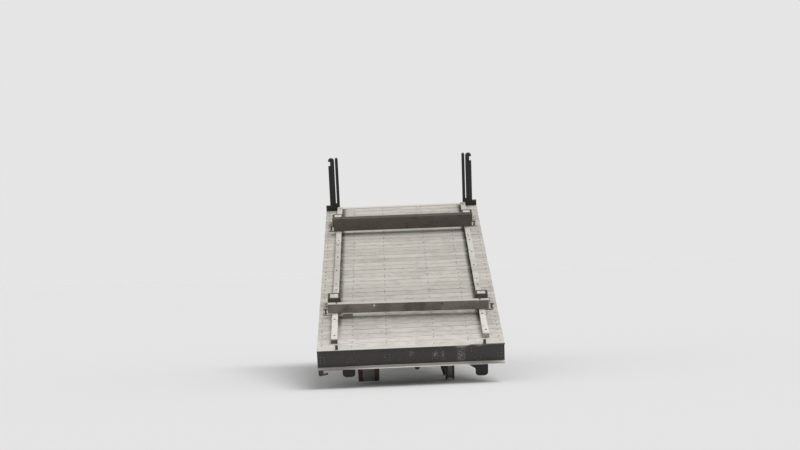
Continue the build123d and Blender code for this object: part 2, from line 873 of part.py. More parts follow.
# Wheelsets: a broad drum wheel to roll over the crossings, a wheel with a flange each side of its tread
rim_inner = tread_radius - rim_thickness
window_low = hub_radius + spoke_window_margin
window_high = rim_inner - spoke_window_margin
spoke_window = (
    window_corner(window_low, -1),
    window_corner(window_high, -1),
    (window_high, 0),
    window_corner(window_high, 1),
    window_corner(window_low, 1),
)
flanged_half = flanged_tread_width / 2 + flange_thickness
flanged_web = rail_centre - flanged_half + wheel_web / 2
flanged_hub = rail_centre - flanged_half + hub_length / 2
drum_centre = -(drum_inner_face + drum_width / 2)
axle_left = -(drum_inner_face + drum_width + axle_overhang)
axle_right = flanged_hub + hub_length / 2 + axle_overhang
for name, axle_y in (("front", front_axle_y), ("rear", rear_axle_y)):
    centre_y = front_y + axle_y
    centre_z = rail_z + tread_radius
    axle_line = Axis((0, centre_y, centre_z), (1, 0, 0))
    section_plane = Plane(origin=(0, centre_y, centre_z), x_dir=(1, 0, 0), z_dir=(0, -1, 0))
    disc_plane = Plane(origin=(0, centre_y, centre_z), x_dir=(0, 1, 0), z_dir=(1, 0, 0))

    with BuildPart() as axle:
        with BuildSketch(disc_plane.offset(axle_left)):
            Circle(axle_radius)
        extrude(amount=axle_right - axle_left)
    save(axle, f"axle_{name}")

    with BuildPart() as wheels:
        with BuildSketch(section_plane):
            wheel_section(drum_centre, drum_width, drum_centre, drum_centre)
            wheel_section(rail_centre, 2 * flanged_half, flanged_web, flanged_hub)
            for hand in (-1, 1):
                flange_x = rail_centre + hand * (flanged_half - flange_thickness / 2)
                with Locations((flange_x, tread_radius + flange_depth / 2)):
                    Rectangle(flange_thickness, flange_depth)
        revolve(axis=axle_line)
        for web_centre in (drum_centre, flanged_web):
            with BuildSketch(disc_plane.offset(web_centre - wheel_web)):
                with PolarLocations(0, spoke_count):
                    Polygon(*spoke_window, align=None)
            extrude(amount=2 * wheel_web, mode=Mode.SUBTRACT)
    save(wheels, f"wheels_{name}")

# Rail brake over the flanged wheels' rail: a hanger frame under the chord, a pair of jaws and their screw
brake_top = chord_bottom - brake_plate
hanger_low = jaw_pivot_height - hanger_below_pivot
hanger_inner = jaw_thickness / 2 + hanger_gap
hanger_outer = hanger_inner + brake_plate
plate_inner_x = truss_x - brake_plate_inner_reach
plate_outer_x = rail_centre + hanger_top_half
with BuildPart() as brake_frame:
    with BuildSketch(Plane(origin=(0, front_y, rail_z + brake_top), z_dir=(0, 0, 1))):
        with Locations(((plate_inner_x + plate_outer_x) / 2, brake_y)):
            Rectangle(plate_outer_x - plate_inner_x, brake_plate_length)
    extrude(amount=brake_plate)
    for offset in (-hanger_outer, hanger_inner):
        with BuildSketch(track_cross_plane(brake_y + offset)):
            with BuildLine():
                Polyline(
                    (rail_centre - hanger_top_half, brake_top),
                    (rail_centre - hanger_waist_half, hanger_low + hanger_waist_rise),
                    (rail_centre - hanger_low_half, hanger_low),
                    (rail_centre + hanger_low_half, hanger_low),
                    (rail_centre + hanger_waist_half, hanger_low + hanger_waist_rise),
                    (rail_centre + hanger_top_half, brake_top),
                    close=True,
                )
            make_face()
            with Locations((rail_centre, jaw_eye_height)):
                Rectangle(hanger_window_width, hanger_window_height, mode=Mode.SUBTRACT)
        extrude(amount=-brake_plate)
    for hand in (-1, 1):
        pin_place = (rail_centre + hand * jaw_pivot_offset, jaw_pivot_height)
        with BuildSketch(track_cross_plane(brake_y - hanger_inner)):
            with Locations(pin_place):
                RegularPolygon(radius=brake_pin_radius, side_count=brake_pin_sides)
        extrude(amount=-2 * hanger_inner)
        for head_offset in (-hanger_outer - brake_pin_head_length, hanger_outer):
            with BuildSketch(track_cross_plane(brake_y + head_offset)):
                with Locations(pin_place):
                    RegularPolygon(radius=brake_pin_head, side_count=6)
            extrude(amount=-brake_pin_head_length)
save(brake_frame, "brake_frame")

jaw_outline = (
    (jaw_nose_gap, -jaw_nose_drop),
    (jaw_nose_gap + jaw_nose_depth, -jaw_nose_drop),
    (jaw_pivot_offset + jaw_half_width, jaw_back_low),
    (jaw_pivot_offset + jaw_half_width, jaw_eye_height + jaw_top_rise - jaw_corner),
    (jaw_pivot_offset + jaw_half_width - jaw_corner, jaw_eye_height + jaw_top_rise),
    (jaw_pivot_offset - jaw_half_width + jaw_corner, jaw_eye_height + jaw_top_rise),
    (jaw_pivot_offset - jaw_half_width, jaw_eye_height + jaw_top_rise - jaw_corner),
    (jaw_pivot_offset - jaw_half_width, jaw_pivot_height),
    (jaw_nose_gap + jaw_corner, jaw_throat_height),
    (jaw_nose_gap, jaw_nose_top),
)
with BuildPart() as brake_jaws:
    with BuildSketch(track_cross_plane(brake_y - jaw_thickness / 2)):
        for hand in (-1, 1):
            with BuildLine():
                Polyline(
                    *((rail_centre + hand * across, height) for across, height in jaw_outline),
                    close=True,
                )
            make_face()
            with Locations((rail_centre + hand * jaw_pivot_offset, jaw_pivot_height)):
                Circle(brake_pin_radius + pin_clearance, mode=Mode.SUBTRACT)
    extrude(amount=-jaw_thickness)

    # The screw lies in forks open at the jaws' tops
    slot_low = jaw_eye_height - brake_screw_radius - pin_clearance
    with BuildSketch(track_side_plane(rail_centre - 2 * jaw_pivot_offset)):
        with Locations((brake_y, (slot_low + brake_top) / 2)):
            Rectangle(2 * (brake_screw_radius + pin_clearance), brake_top - slot_low)
    extrude(amount=4 * jaw_pivot_offset, mode=Mode.SUBTRACT)
save(brake_jaws, "brake_jaws")

# The brake's screw: a hexagon collar between the jaws, nuts on their backs, squared ends
nut_face = jaw_pivot_offset + jaw_half_width
square_face = nut_face + brake_nut_length
with BuildPart() as brake_screw:
    with BuildSketch(track_side_plane(rail_centre - nut_face)):
        with Locations((brake_y, jaw_eye_height)):
            RegularPolygon(radius=brake_screw_radius, side_count=brake_screw_sides)
    extrude(amount=2 * nut_face)
    with BuildSketch(track_side_plane(rail_centre - brake_collar_length / 2)):
        with Locations((brake_y, jaw_eye_height)):
            RegularPolygon(radius=brake_collar_radius, side_count=6)
    extrude(amount=brake_collar_length)
    for start_x in (-square_face, nut_face):
        with BuildSketch(track_side_plane(rail_centre + start_x)):
            with Locations((brake_y, jaw_eye_height)):
                RegularPolygon(radius=brake_nut_radius, side_count=6)
        extrude(amount=brake_nut_length)
    for start_x in (-square_face - brake_screw_end, square_face):
        with BuildSketch(track_side_plane(rail_centre + start_x)):
            with Locations((brake_y, jaw_eye_height)):
                Rectangle(brake_screw_square, brake_screw_square)
        extrude(amount=brake_screw_end)
save(brake_screw, "brake_screw")
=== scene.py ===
"""Visual model of the funicular's platform car: weathered deck timbers, riveted steelwork, cast fittings,
rail wheels and brake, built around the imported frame, with a pale studio stage and the view from the uphill
side.

Metres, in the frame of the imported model: Y points downhill, the way that the wheels roll, and Z is square
to it.
Places on the deck are given as (across, along, up) from the middle of its front edge.
"""

import json
from itertools import product
from math import atan, cos, radians, sin, tan, tau
from random import Random

import bmesh
import bpy
from bpy.props import FloatProperty, FloatVectorProperty, IntProperty, PointerProperty
from bpy.types import Operator, Panel, PropertyGroup
from mathutils import Matrix, Vector, noise


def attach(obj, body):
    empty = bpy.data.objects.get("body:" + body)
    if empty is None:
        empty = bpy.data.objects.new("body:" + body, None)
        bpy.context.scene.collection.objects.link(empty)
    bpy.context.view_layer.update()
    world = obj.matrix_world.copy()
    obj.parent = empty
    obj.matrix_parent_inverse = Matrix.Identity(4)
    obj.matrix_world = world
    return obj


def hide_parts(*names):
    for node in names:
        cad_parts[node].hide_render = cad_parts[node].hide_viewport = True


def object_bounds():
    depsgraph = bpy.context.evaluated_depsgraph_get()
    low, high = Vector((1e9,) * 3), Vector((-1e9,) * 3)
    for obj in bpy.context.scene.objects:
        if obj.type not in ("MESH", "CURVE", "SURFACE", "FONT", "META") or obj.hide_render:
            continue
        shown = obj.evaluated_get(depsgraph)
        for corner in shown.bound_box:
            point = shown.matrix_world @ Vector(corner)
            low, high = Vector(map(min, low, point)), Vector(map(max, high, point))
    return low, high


bl_info = {
    "name": "Funicular platform car",
    "version": (1, 0, 0),
    "blender": (4, 5, 0),
    "location": "3D View > Sidebar > Platform Car",
    "description": "Builds the finished looks of the platform car around its packed frame",
    "category": "Object",
}

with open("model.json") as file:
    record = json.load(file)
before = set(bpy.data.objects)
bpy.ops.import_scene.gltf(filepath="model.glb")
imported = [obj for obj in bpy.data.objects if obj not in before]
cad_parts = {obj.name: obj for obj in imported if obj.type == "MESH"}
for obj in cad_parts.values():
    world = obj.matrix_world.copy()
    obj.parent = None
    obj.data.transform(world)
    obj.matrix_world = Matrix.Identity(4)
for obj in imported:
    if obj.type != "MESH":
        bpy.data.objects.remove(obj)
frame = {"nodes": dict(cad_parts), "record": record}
CAD_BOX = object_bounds()
CAR = "car_frame"

# The deck's own directions, read from the landing board's mount
landing = next(mount for mount in frame["record"]["mounts"] if mount["name"] == "landing_board")
DECK_UP = Vector(landing["axis"])
DECK_ALONG = Vector((0, DECK_UP.z, -DECK_UP.y))
ACROSS = Vector((1, 0, 0))
DECK_AXES = Matrix((ACROSS, DECK_ALONG, DECK_UP)).transposed()
FRONT_Y = CAD_BOX[0][1]
DECK_FRONT = Vector(landing["pos_m"]) - DECK_ALONG * ((landing["pos_m"][1] - FRONT_Y) / DECK_ALONG.y)
SLOPE = atan(-DECK_UP.y / DECK_UP.z)

# Sizes of the deck that the looks follow
DECK_LENGTH = 7.35
DECK_HALF = 1.48
BOARD_COUNT = 38
BOARD_START = 0.1
BOARD_PITCH = (DECK_LENGTH - 2 * BOARD_START) / BOARD_COUNT
BOARD_THICKNESS = 0.05
CURB_INNER = 1.15
CURB_OUTER = 1.26
CURB_MIDDLE = (CURB_INNER + CURB_OUTER) / 2
CURB_HEIGHT = 0.08
CURB_START = BOARD_START + BOARD_PITCH
CURB_END = 7.15

# Sizes of the steelwork
HEADSTOCK_DEPTH = 0.335
HEADSTOCK_FACE = 0.09
SILL_LOW = -0.29
SILL_X = 1.46
TRUSS_X = 0.375
STRINGER_X = 0.92
BEARER_PITCH = 0.715
CHORD_LOW = 0.40
CHORD_TOP = 0.56
RAKER_Y = DECK_LENGTH * cos(SLOPE) - 0.12
POST_FEET = (2.50, 4.35, RAKER_Y - 0.60)
POST_OUTER = 0.405
GUSSET_FACE = 0.335
GUSSET_THICKNESS = 0.01
STANCHION_FACE = 7.16

# Running gear, downhill from the deck's front edge and up from the undersides of the treads
TREAD_Z = 0.026
WHEEL_HEIGHT = 0.30
WHEEL_X = 0.63
BRAKE_Y = 2.15
BRAKE_SCREW_HEIGHT = 0.33
SOCKET_X = 0.095
SOCKET_Y = 0.64
SOCKET_HEIGHT = 0.24
AXLES = (("front", 1.1), ("rear", 5.6))
SIDES = (("left", -1), ("right", 1))
HANDS = (-1, 1)

# Chock beams: name, middle of the face along the deck, turn, depth, height, reach, slot, face bolts' drop
CHOCKS = (
    ("front", 1.360, radians(-2.0), 0.10, 0.16, CURB_OUTER + 0.065, "chock_timber", 0.25),
    ("rear", 5.625, radians(-0.6), 0.16, 0.24, CURB_OUTER + 0.04, "dark_timber", 0.45),
)

# Curb clamps: name, side, start of the sole plate along the deck, start of the block, its length,
# screw in from the plate's outer edge
CLAMPS = (
    ("front_left", -1, 1.532, 1.842, 0.247, 0.032),
    ("front_right", 1, 1.489, 1.760, 0.190, 0.015),
    ("rear_left", -1, 5.877, 6.109, 0.270, 0.045),
    ("rear_right", 1, 5.855, 6.081, 0.270, 0.045),
)

# Knee plates behind the front headstock: name, side, outer edge across, width, drop below the headstock
KNEES = (("left", -1, 1.09, 0.27, 0.17), ("right", 1, 1.215, 0.335, 0.235))

# Scraped places on the front headstock's face: middle across, half width, top, bottom, amount
SCRAPES = (
    (0.01, 0.05, -0.08, -0.22, 0.75),
    (0.385, 0.06, -0.08, -0.24, 0.8),
    (0.50, 0.04, -0.10, -0.29, 0.75),
    (0.80, 0.13, 0.01, -0.10, 1.3),
    (0.79, 0.09, -0.08, -0.32, 0.85),
    (1.09, 0.12, 0.01, -0.05, 1.3),
)

# Darker patches on the front chock beam: middle across, half width, darkness
DARK_BEAM_PATCHES = ((0.10, 0.28, 0.55), (0.42, 0.18, 0.35), (-0.42, 0.16, 0.3), (1.24, 0.13, 0.4))

# How much finer the grain is across a timber than along it, for timbers that lie across and along the car
GRAIN_ACROSS = (0.9, 22.0, 22.0)
GRAIN_ALONG = (22.0, 0.9, 22.0)

# Colours of dirt, dust, rust and worn places, some of them with painted shade or painted sunlight
GREASE = (0.012, 0.011, 0.01)
HUB_OIL = (0.02, 0.018, 0.016)
# Inner faces of the curbs: tyre marks and painted shade
RUBBED_AND_SHADED_TIMBER = (0.028, 0.025, 0.022)
# Colour of the darker patches on the front chock beam
BEAM_PATCH_COLOUR = (0.035, 0.03, 0.026)
# Front ends of the curbs: tar, and painted shade on the end faces
TAR_AND_SHADE = (0.045, 0.04, 0.036)
STEEL_FILM = (0.05, 0.042, 0.036)
# Dirt and painted shade on the boards beside the curbs' inner faces
CORNER_DIRT_AND_SHADE = (0.09, 0.08, 0.068)
# Dirt and painted shade on the boards under and around the front chock beam
BEAM_DIRT_AND_SHADE = (0.20, 0.18, 0.155)
PAINT_RUST = (0.105, 0.07, 0.05)
IRON_RUST = (0.10, 0.072, 0.054)
WHEEL_RUST = (0.125, 0.085, 0.062)
WHEEL_SHADE = (0.06, 0.045, 0.038)
WHEEL_GRIT = (0.035, 0.028, 0.024)
ROLLED_TREAD = (0.52, 0.51, 0.50)
STEEL_DUST = (0.33, 0.31, 0.28)
CHIPPED_PAINT = (0.44, 0.42, 0.38)
DECK_DUST = (0.62, 0.59, 0.54)
BEAM_DUST = (0.66, 0.63, 0.57)
TRODDEN_FLANGE = (0.72, 0.68, 0.61)
SCOURED_BOARD = (0.86, 0.825, 0.765)
SCUFFED_CURB = (0.91, 0.88, 0.82)
# Pale dust and painted sunlight on the top of the front headstock's lower flange
FLANGE_DUST_AND_HIGHLIGHT = (0.93, 0.89, 0.82)

# Corners flatter than the first angle are shaded smooth, and edges sharper than the second are rounded
SMOOTH_ANGLE = radians(35)
EDGE_ANGLE = radians(40)

# Finished materials by name
finishes = {}


def on_deck(across, along, up=0.0):
    """Point given across, along and up from the middle of the deck's front edge."""
    return DECK_FRONT + ACROSS * across + DECK_ALONG * along + DECK_UP * up


def deck_frame(across, along, up=0.0):
    """Matrix whose X is across, Y along and Z up from the deck."""
    return Matrix.Translation(on_deck(across, along, up)) @ DECK_AXES.to_4x4()


def track_point(across, downhill, height):
    """Point given across, downhill from the front edge and up from the undersides of the treads."""
    return Vector((across, FRONT_Y + downhill, TREAD_Z + height))


def from_track(downhill, height):
    """Along and up on the deck of a point given downhill and up from the undersides of the treads."""
    place = track_point(0, downhill, height) - DECK_FRONT
    return place.dot(DECK_ALONG), place.dot(DECK_UP)


def feed(socket, value):
    """Link or set an input socket."""
    if isinstance(value, bpy.types.NodeSocket):
        socket.id_data.links.new(value, socket)
    elif socket.type == "RGBA":
        socket.default_value = (*value, 1)
    else:
        socket.default_value = value


def add_node(tree, kind, inputs=None, **settings):
    """New node with its properties set and its inputs fed."""
    node = tree.nodes.new(kind)
    for key, value in settings.items():
        setattr(node, key, value)
    for key, value in (inputs or {}).items():
        feed(node.inputs[key], value)
    return node


def shaded(colour, share):
    """Colour made darker or paler."""
    return tuple(share * value for value in colour)


class Recipe:
    """Node material with short names for the nodes that its finish is mixed from."""

    def __init__(self, name, colour=None):
        self.name = name
        self.material = bpy.data.materials.new(name)
        self.material.use_nodes = True
        self.tree = self.material.node_tree
        self.place = self.add("ShaderNodeTexCoord").outputs["Object"]
        self.normal = self.add("ShaderNodeNewGeometry").outputs["Normal"]
        self.colour = colour

    def add(self, kind, inputs=None, **settings):
        """New node of this material."""
        return add_node(self.tree, kind, inputs, **settings)

    def math(self, operation, first, second=0.0, third=0.0):
        """Result of a Math node."""
        return self.add("ShaderNodeMath", {0: first, 1: second, 2: third}, operation=operation).outputs[0]

    def times(self, first, *others):
        """Product of several values."""
        for value in others:
            first = self.math("MULTIPLY", first, value)
        return first

    def apart(self, value, place):
        """How far a value is from a place, either way."""
        return self.math("ABSOLUTE", self.math("SUBTRACT", value, place))

    def dot(self, first, second):
        """Dot product of two vectors."""
        node = self.add("ShaderNodeVectorMath", {0: first, 1: second}, operation="DOT_PRODUCT")
        return node.outputs["Value"]

    def stretched(self, stretch, place=None, turn=0.0):
        """Position scaled on each axis, after a turn about X that lays Y along the deck."""
        sockets = {"Vector": place or self.place, "Rotation": (turn, 0, 0)}
        turned_back = self.add("ShaderNodeMapping", sockets, vector_type="TEXTURE").outputs[0]
        return self.add("ShaderNodeMapping", {"Vector": turned_back, "Scale": stretch}).outputs[0]

    def noise(self, scale, place=None, detail=4.0, roughness=0.6, distortion=0.0):
        """Value of a Noise texture."""
        sockets = {"Vector": place or self.place, "Scale": scale, "Detail": detail, "Roughness": roughness}
        return self.add("ShaderNodeTexNoise", {**sockets, "Distortion": distortion}).outputs["Fac"]

    def spread(self, value, low, high, to_low=0.0, to_high=1.0):
        """Value mapped smoothly from one range to another and held there."""
        sockets = dict(enumerate((value, low, high, to_low, to_high)))
        return self.add("ShaderNodeMapRange", sockets, interpolation_type="SMOOTHSTEP").outputs[0]

    def mix(self, factor, first, second):
        """Colour between two others."""
        return self.add("ShaderNodeMix", {0: factor, 6: first, 7: second}, data_type="RGBA").outputs[2]

    def lay(self, mask, colour):
        """Lay a colour over the finish where a mask says."""
        self.colour = self.mix(mask, self.colour, colour)

    def facing(self, direction, low, high):
        """How far the surface faces a direction."""
        return self.spread(self.dot(self.normal, direction), low, high)

    def from_front(self, direction):
        """Distance from the deck's front edge, measured along a direction."""
        return self.math("SUBTRACT", self.dot(self.place, direction), DECK_FRONT.dot(direction))

    def position(self, axis):
        """One coordinate of the place on the piece."""
        return self.add("ShaderNodeSeparateXYZ", {0: self.place}).outputs[axis]

    def edge_wear(self, width):
        """Mask along the sharp edges of a piece."""
        bevelled = self.add("ShaderNodeBevel", {"Radius": width}, samples=4).outputs[0]
        return self.spread(self.math("SUBTRACT", 1.0, self.dot(bevelled, self.normal)), 0.02, 0.25)

    def bump(self, height, distance, strength):
        """Normal of a Bump node."""
        sockets = {"Strength": strength, "Distance": distance, "Height": height}
        return self.add("ShaderNodeBump", sockets).outputs[0]

    def finish(self, roughness, metallic=0.0, normal=None, specular=0.5):
        """Feed the shader and keep the material by its name."""
        sockets = self.tree.nodes["Principled BSDF"].inputs
        feed(sockets["Base Color"], self.colour)
        feed(sockets["Roughness"], roughness)
        feed(sockets["Metallic"], metallic)
        feed(sockets["Specular IOR Level"], specular)
        if normal is not None:
            feed(sockets["Normal"], normal)
        finishes[self.name] = self.material


def timber(name, pale, dark, grain, varied=False, grime=0.35, streaks=0.75, marks=None):
    """Weathered sawn timber: silvered grain, cracks along it, grime and worn edges."""
    recipe = Recipe(name)
    place = recipe.place
    tone = 0.5
    if varied:
        board = recipe.add("ShaderNodeAttribute", attribute_name="tone").outputs
        tone = board["Fac"]
        shift = {0: board["Vector"], 1: (31.0, 17.0, 11.0), 2: place}
        place = recipe.add("ShaderNodeVectorMath", shift, operation="MULTIPLY_ADD").outputs[0]
    grained = recipe.stretched(grain, place, SLOPE)
    fine = recipe.noise(16.0, grained, detail=8.0, roughness=0.7)
    broad = recipe.noise(1.7, place, detail=5.0, roughness=0.65)
    stain = recipe.noise(6.5, place, detail=5.0, roughness=0.7)
    wave = recipe.noise(3.2, grained, detail=3.0, distortion=0.6)
    crack = recipe.spread(recipe.apart(wave, 0.52), 0.012, 0.0)
    crack = recipe.times(crack, recipe.spread(stain, 0.42, 0.62))
    recipe.colour = recipe.mix(tone, pale, tuple(0.62 * a + 0.38 * b for a, b in zip(pale, dark)))
    recipe.lay(recipe.spread(fine, 0.42, 0.72, 0.0, streaks), dark)
    recipe.lay(recipe.spread(broad, 0.45, 0.7, 0.0, grime), shaded(dark, 0.75))
    recipe.lay(recipe.spread(stain, 0.56, 0.78, 0.0, grime), shaded(dark, 0.6))
    recipe.lay(recipe.times(crack, 0.85), shaded(dark, 0.22))
    recipe.lay(recipe.times(recipe.edge_wear(0.006), 0.5), shaded(dark, 0.35))
    if marks:
        marks(recipe, stain, fine)
    height = recipe.math("MULTIPLY_ADD", fine, 0.35, recipe.times(crack, -1.0))
    rough = recipe.spread(fine, 0.3, 0.7, 0.78, 0.95)
    recipe.finish(rough, normal=recipe.bump(height, 0.004, 0.8), specular=0.25)


def curb_marks(recipe, stain, fine):
    """Scuffed curbs: inner faces dark from tyre marks and painted shade, front ends frayed and black from
    tar and painted shade, most on the left.
    """
    across = recipe.position(0)
    along = recipe.from_front(DECK_ALONG)
    # Inner side faces darker, most behind the front end: tyre marks, and painted shade
    tyre_marks_and_shade = recipe.times(
        recipe.spread(recipe.math("ABSOLUTE", across), CURB_INNER + 0.014, CURB_INNER + 0.007),
        recipe.facing(DECK_UP, 0.6, 0.3),
        recipe.spread(stain, 0.25, 0.5, 0.8, 1.0),
        recipe.spread(along, 0.85, 1.2, 0.3, 1.0),
    )
    recipe.lay(tyre_marks_and_shade, RUBBED_AND_SHADED_TIMBER)
    scuffed = recipe.times(
        recipe.spread(along, 1.5, 1.25),
        recipe.spread(stain, 0.7, 0.45, 0.35, 0.7),
        recipe.facing(DECK_UP, 0.3, 0.8),
    )
    recipe.lay(scuffed, SCUFFED_CURB)
    # Front ends near-black, most on the left: tar, and painted shade on the end faces
    ragged = recipe.math("MULTIPLY_ADD", stain, 0.22, along)
    height = recipe.math("MULTIPLY_ADD", fine, 0.05, recipe.from_front(DECK_UP))
    amount = recipe.times(
        recipe.spread(across, 0.5, -0.5, 0.45, 0.9),
        recipe.spread(height, CURB_HEIGHT + 0.018, CURB_HEIGHT, 0.15),
    )
    recipe.lay(recipe.times(recipe.spread(ragged, 0.44, 0.405), amount), TAR_AND_SHADE)


def board_marks(recipe, stain, fine):
    """Boards scoured pale by the front edge, and darker by the front beam and beside the curbs: dirt there,
    and painted shade.
    """
    along = recipe.from_front(DECK_ALONG)
    aside = recipe.math("ABSOLUTE", recipe.position(0))
    # Darker band by the front beam, between the curbs: painted shade under the beam, with dirt
    dirt_and_shade_by_beam = recipe.times(
        recipe.spread(recipe.apart(along, 1.42), 0.42, 0.04, 0.0, 0.55),
        recipe.spread(aside, CURB_INNER + 0.01, CURB_INNER - 0.05),
        recipe.spread(stain, 0.3, 0.6, 0.6, 1.0),
    )
    recipe.lay(dirt_and_shade_by_beam, BEAM_DIRT_AND_SHADE)
    # Darker strip beside each curb's inner face: dirt in the corner, and painted shade
    dirt_and_shade_by_curb = recipe.times(
        recipe.spread(aside, CURB_INNER - 0.085, CURB_INNER - 0.01),
        recipe.spread(along, 0.8, 1.25, 0.3, 0.9),
        recipe.spread(aside, CURB_OUTER, CURB_INNER + 0.01),
        recipe.spread(stain, 0.3, 0.55, 0.55, 1.0),
    )
    recipe.lay(dirt_and_shade_by_curb, CORNER_DIRT_AND_SHADE)
    scoured = recipe.times(recipe.spread(along, 1.0, 0.15), recipe.spread(stain, 0.3, 0.6, 0.75, 0.45))
    recipe.lay(scoured, SCOURED_BOARD)


def beam_marks(recipe, stain, fine):
    """Darker patches and pale trodden dust on the front chock beam."""
    across = recipe.position(0)
    for place, half, darkness in DARK_BEAM_PATCHES:
        near = recipe.spread(recipe.apart(across, place), half, 0.3 * half, 0.0, darkness)
        recipe.lay(recipe.times(near, recipe.spread(stain, 0.3, 0.55, 0.6, 1.0)), BEAM_PATCH_COLOUR)
    settled = recipe.times(recipe.facing(DECK_UP, 0.6, 0.9), recipe.spread(stain, 0.2, 0.5, 0.6, 0.95))
    recipe.lay(settled, BEAM_DUST)


def painted_steel(name, paint, rusting=0.5, dusting=0.6, marks=None):
    """Old paint on rolled steel: rust through its edges and in patches, dust on what faces the sky."""
    recipe = Recipe(name)
    patch = recipe.noise(5.0, detail=8.0, roughness=0.72)
    speck = recipe.noise(38.0, detail=5.0, roughness=0.7)
    pits = recipe.noise(140.0, detail=3.0)
    rusty = recipe.math("MULTIPLY_ADD", speck, 0.35, recipe.times(patch, 0.75))
    rusty = recipe.spread(rusty, 0.70 - 0.22 * rusting, 0.80 - 0.18 * rusting)
    edge = recipe.times(recipe.edge_wear(0.004), recipe.spread(speck, 0.35, 0.6))
    rusty = recipe.math("MAXIMUM", rusty, edge)
    coat = recipe.mix(recipe.spread(speck, 0.3, 0.75), paint, tuple(1.5 * value + 0.004 for value in paint))
    rust = recipe.mix(recipe.spread(pits, 0.35, 0.7), PAINT_RUST, shaded(PAINT_RUST, 0.55))
    recipe.colour = recipe.mix(rusty, coat, rust)
    settled = recipe.times(
        recipe.facing(DECK_UP, 0.45, 0.95),
        recipe.spread(patch, 0.3, 0.65, 0.35 * dusting, dusting),
    )
    recipe.lay(settled, STEEL_DUST)
    if marks:
        marks(recipe, speck)
    height = recipe.math("MULTIPLY_ADD", pits, recipe.times(rusty, 0.9), recipe.times(speck, 0.25))
    rust_rough = recipe.spread(rusty, 0.0, 1.0, 0.52, 0.9)
    rough = recipe.math("MAXIMUM", rust_rough, recipe.spread(settled, 0.0, 0.5, 0.3, 0.9))
    recipe.finish(rough, normal=recipe.bump(height, 0.0015, 0.7), specular=0.4)


def headstock_marks(recipe, speck):
    """Trodden dust on the headstock's flanges, dust and painted sunlight on the top of its lower flange, and
    scraped paint on its face.
    """
    across = recipe.position(0)
    along = recipe.from_front(DECK_ALONG)
    height = recipe.from_front(DECK_UP)
    inner = recipe.math("MAXIMUM", recipe.spread(across, 0.97, 0.88), recipe.spread(along, 0.025, 0.045))
    trodden = recipe.times(recipe.facing(DECK_UP, 0.5, 0.9), inner, recipe.spread(speck, 0.2, 0.5, 0.8, 1.0))
    recipe.lay(trodden, TRODDEN_FLANGE)
    low = recipe.times(
        recipe.spread(height, 0.023 - HEADSTOCK_DEPTH, 0.016 - HEADSTOCK_DEPTH),
        recipe.spread(height, -0.004 - HEADSTOCK_DEPTH, -0.001 - HEADSTOCK_DEPTH),
    )
    # Top of the lower flange painted near-white: dust and painted sunlight, strongest in the middle of its
    # width
    dust_and_highlight = recipe.times(
        recipe.spread(across, -1.15, -0.55, 0.12),
        recipe.spread(across, 0.95, 0.8, 0.55),
        low,
        recipe.spread(speck, 0.3, 0.5, 0.8, 1.0),
    )
    recipe.lay(dust_and_highlight, FLANGE_DUST_AND_HIGHLIGHT)
    chips = recipe.noise(42.0, detail=6.0, roughness=0.8)
    front = recipe.spread(along, 1.0, 0.5)
    for place, half, top, bottom, amount in SCRAPES:
        scrape = recipe.times(
            recipe.spread(recipe.apart(across, place), half, 0.2 * half),
            front,
            recipe.spread(height, bottom, bottom + 0.06),
            recipe.spread(height, top, top - 0.02),
        )
        chipped = recipe.spread(chips, 0.66 - 0.2 * amount, 0.70 - 0.12 * amount, 0.0, min(0.9, amount))
        recipe.lay(recipe.times(scrape, chipped), CHIPPED_PAINT)


def bare_iron(name, tone, rusting=0.6, grease=0.0, dust=STEEL_DUST, dusting=(0.15, 0.5)):
    """Cast or forged iron, rusted brown, with darker grease where it runs."""
    recipe = Recipe(name)
    patch = recipe.noise(9.0, detail=7.0, roughness=0.7)
    grit = recipe.noise(90.0)
    rusty = recipe.spread(patch, 0.62 - 0.3 * rusting, 0.75 - 0.2 * rusting)
    recipe.colour = recipe.mix(rusty, tone, IRON_RUST)
    recipe.lay(recipe.spread(grit, 0.5, 0.75, 0.0, 0.5), shaded(IRON_RUST, 0.45))
    if grease:
        oily = recipe.spread(recipe.noise(14.0, detail=5.0), 0.62 - 0.3 * grease, 0.7 - 0.2 * grease)
        recipe.lay(oily, GREASE)
        rough = recipe.spread(oily, 0.0, 1.0, 0.82, 0.32)
    else:
        rough = recipe.spread(grit, 0.3, 0.7, 0.62, 0.9)
    settled = recipe.times(recipe.facing(DECK_UP, 0.5, 0.95), recipe.spread(patch, 0.3, 0.7, *dusting))
    recipe.lay(settled, dust)
    height = recipe.math("MULTIPLY_ADD", grit, 0.6, recipe.times(patch, 0.4))
    recipe.finish(rough, normal=recipe.bump(height, 0.0016, 0.8), specular=0.4)


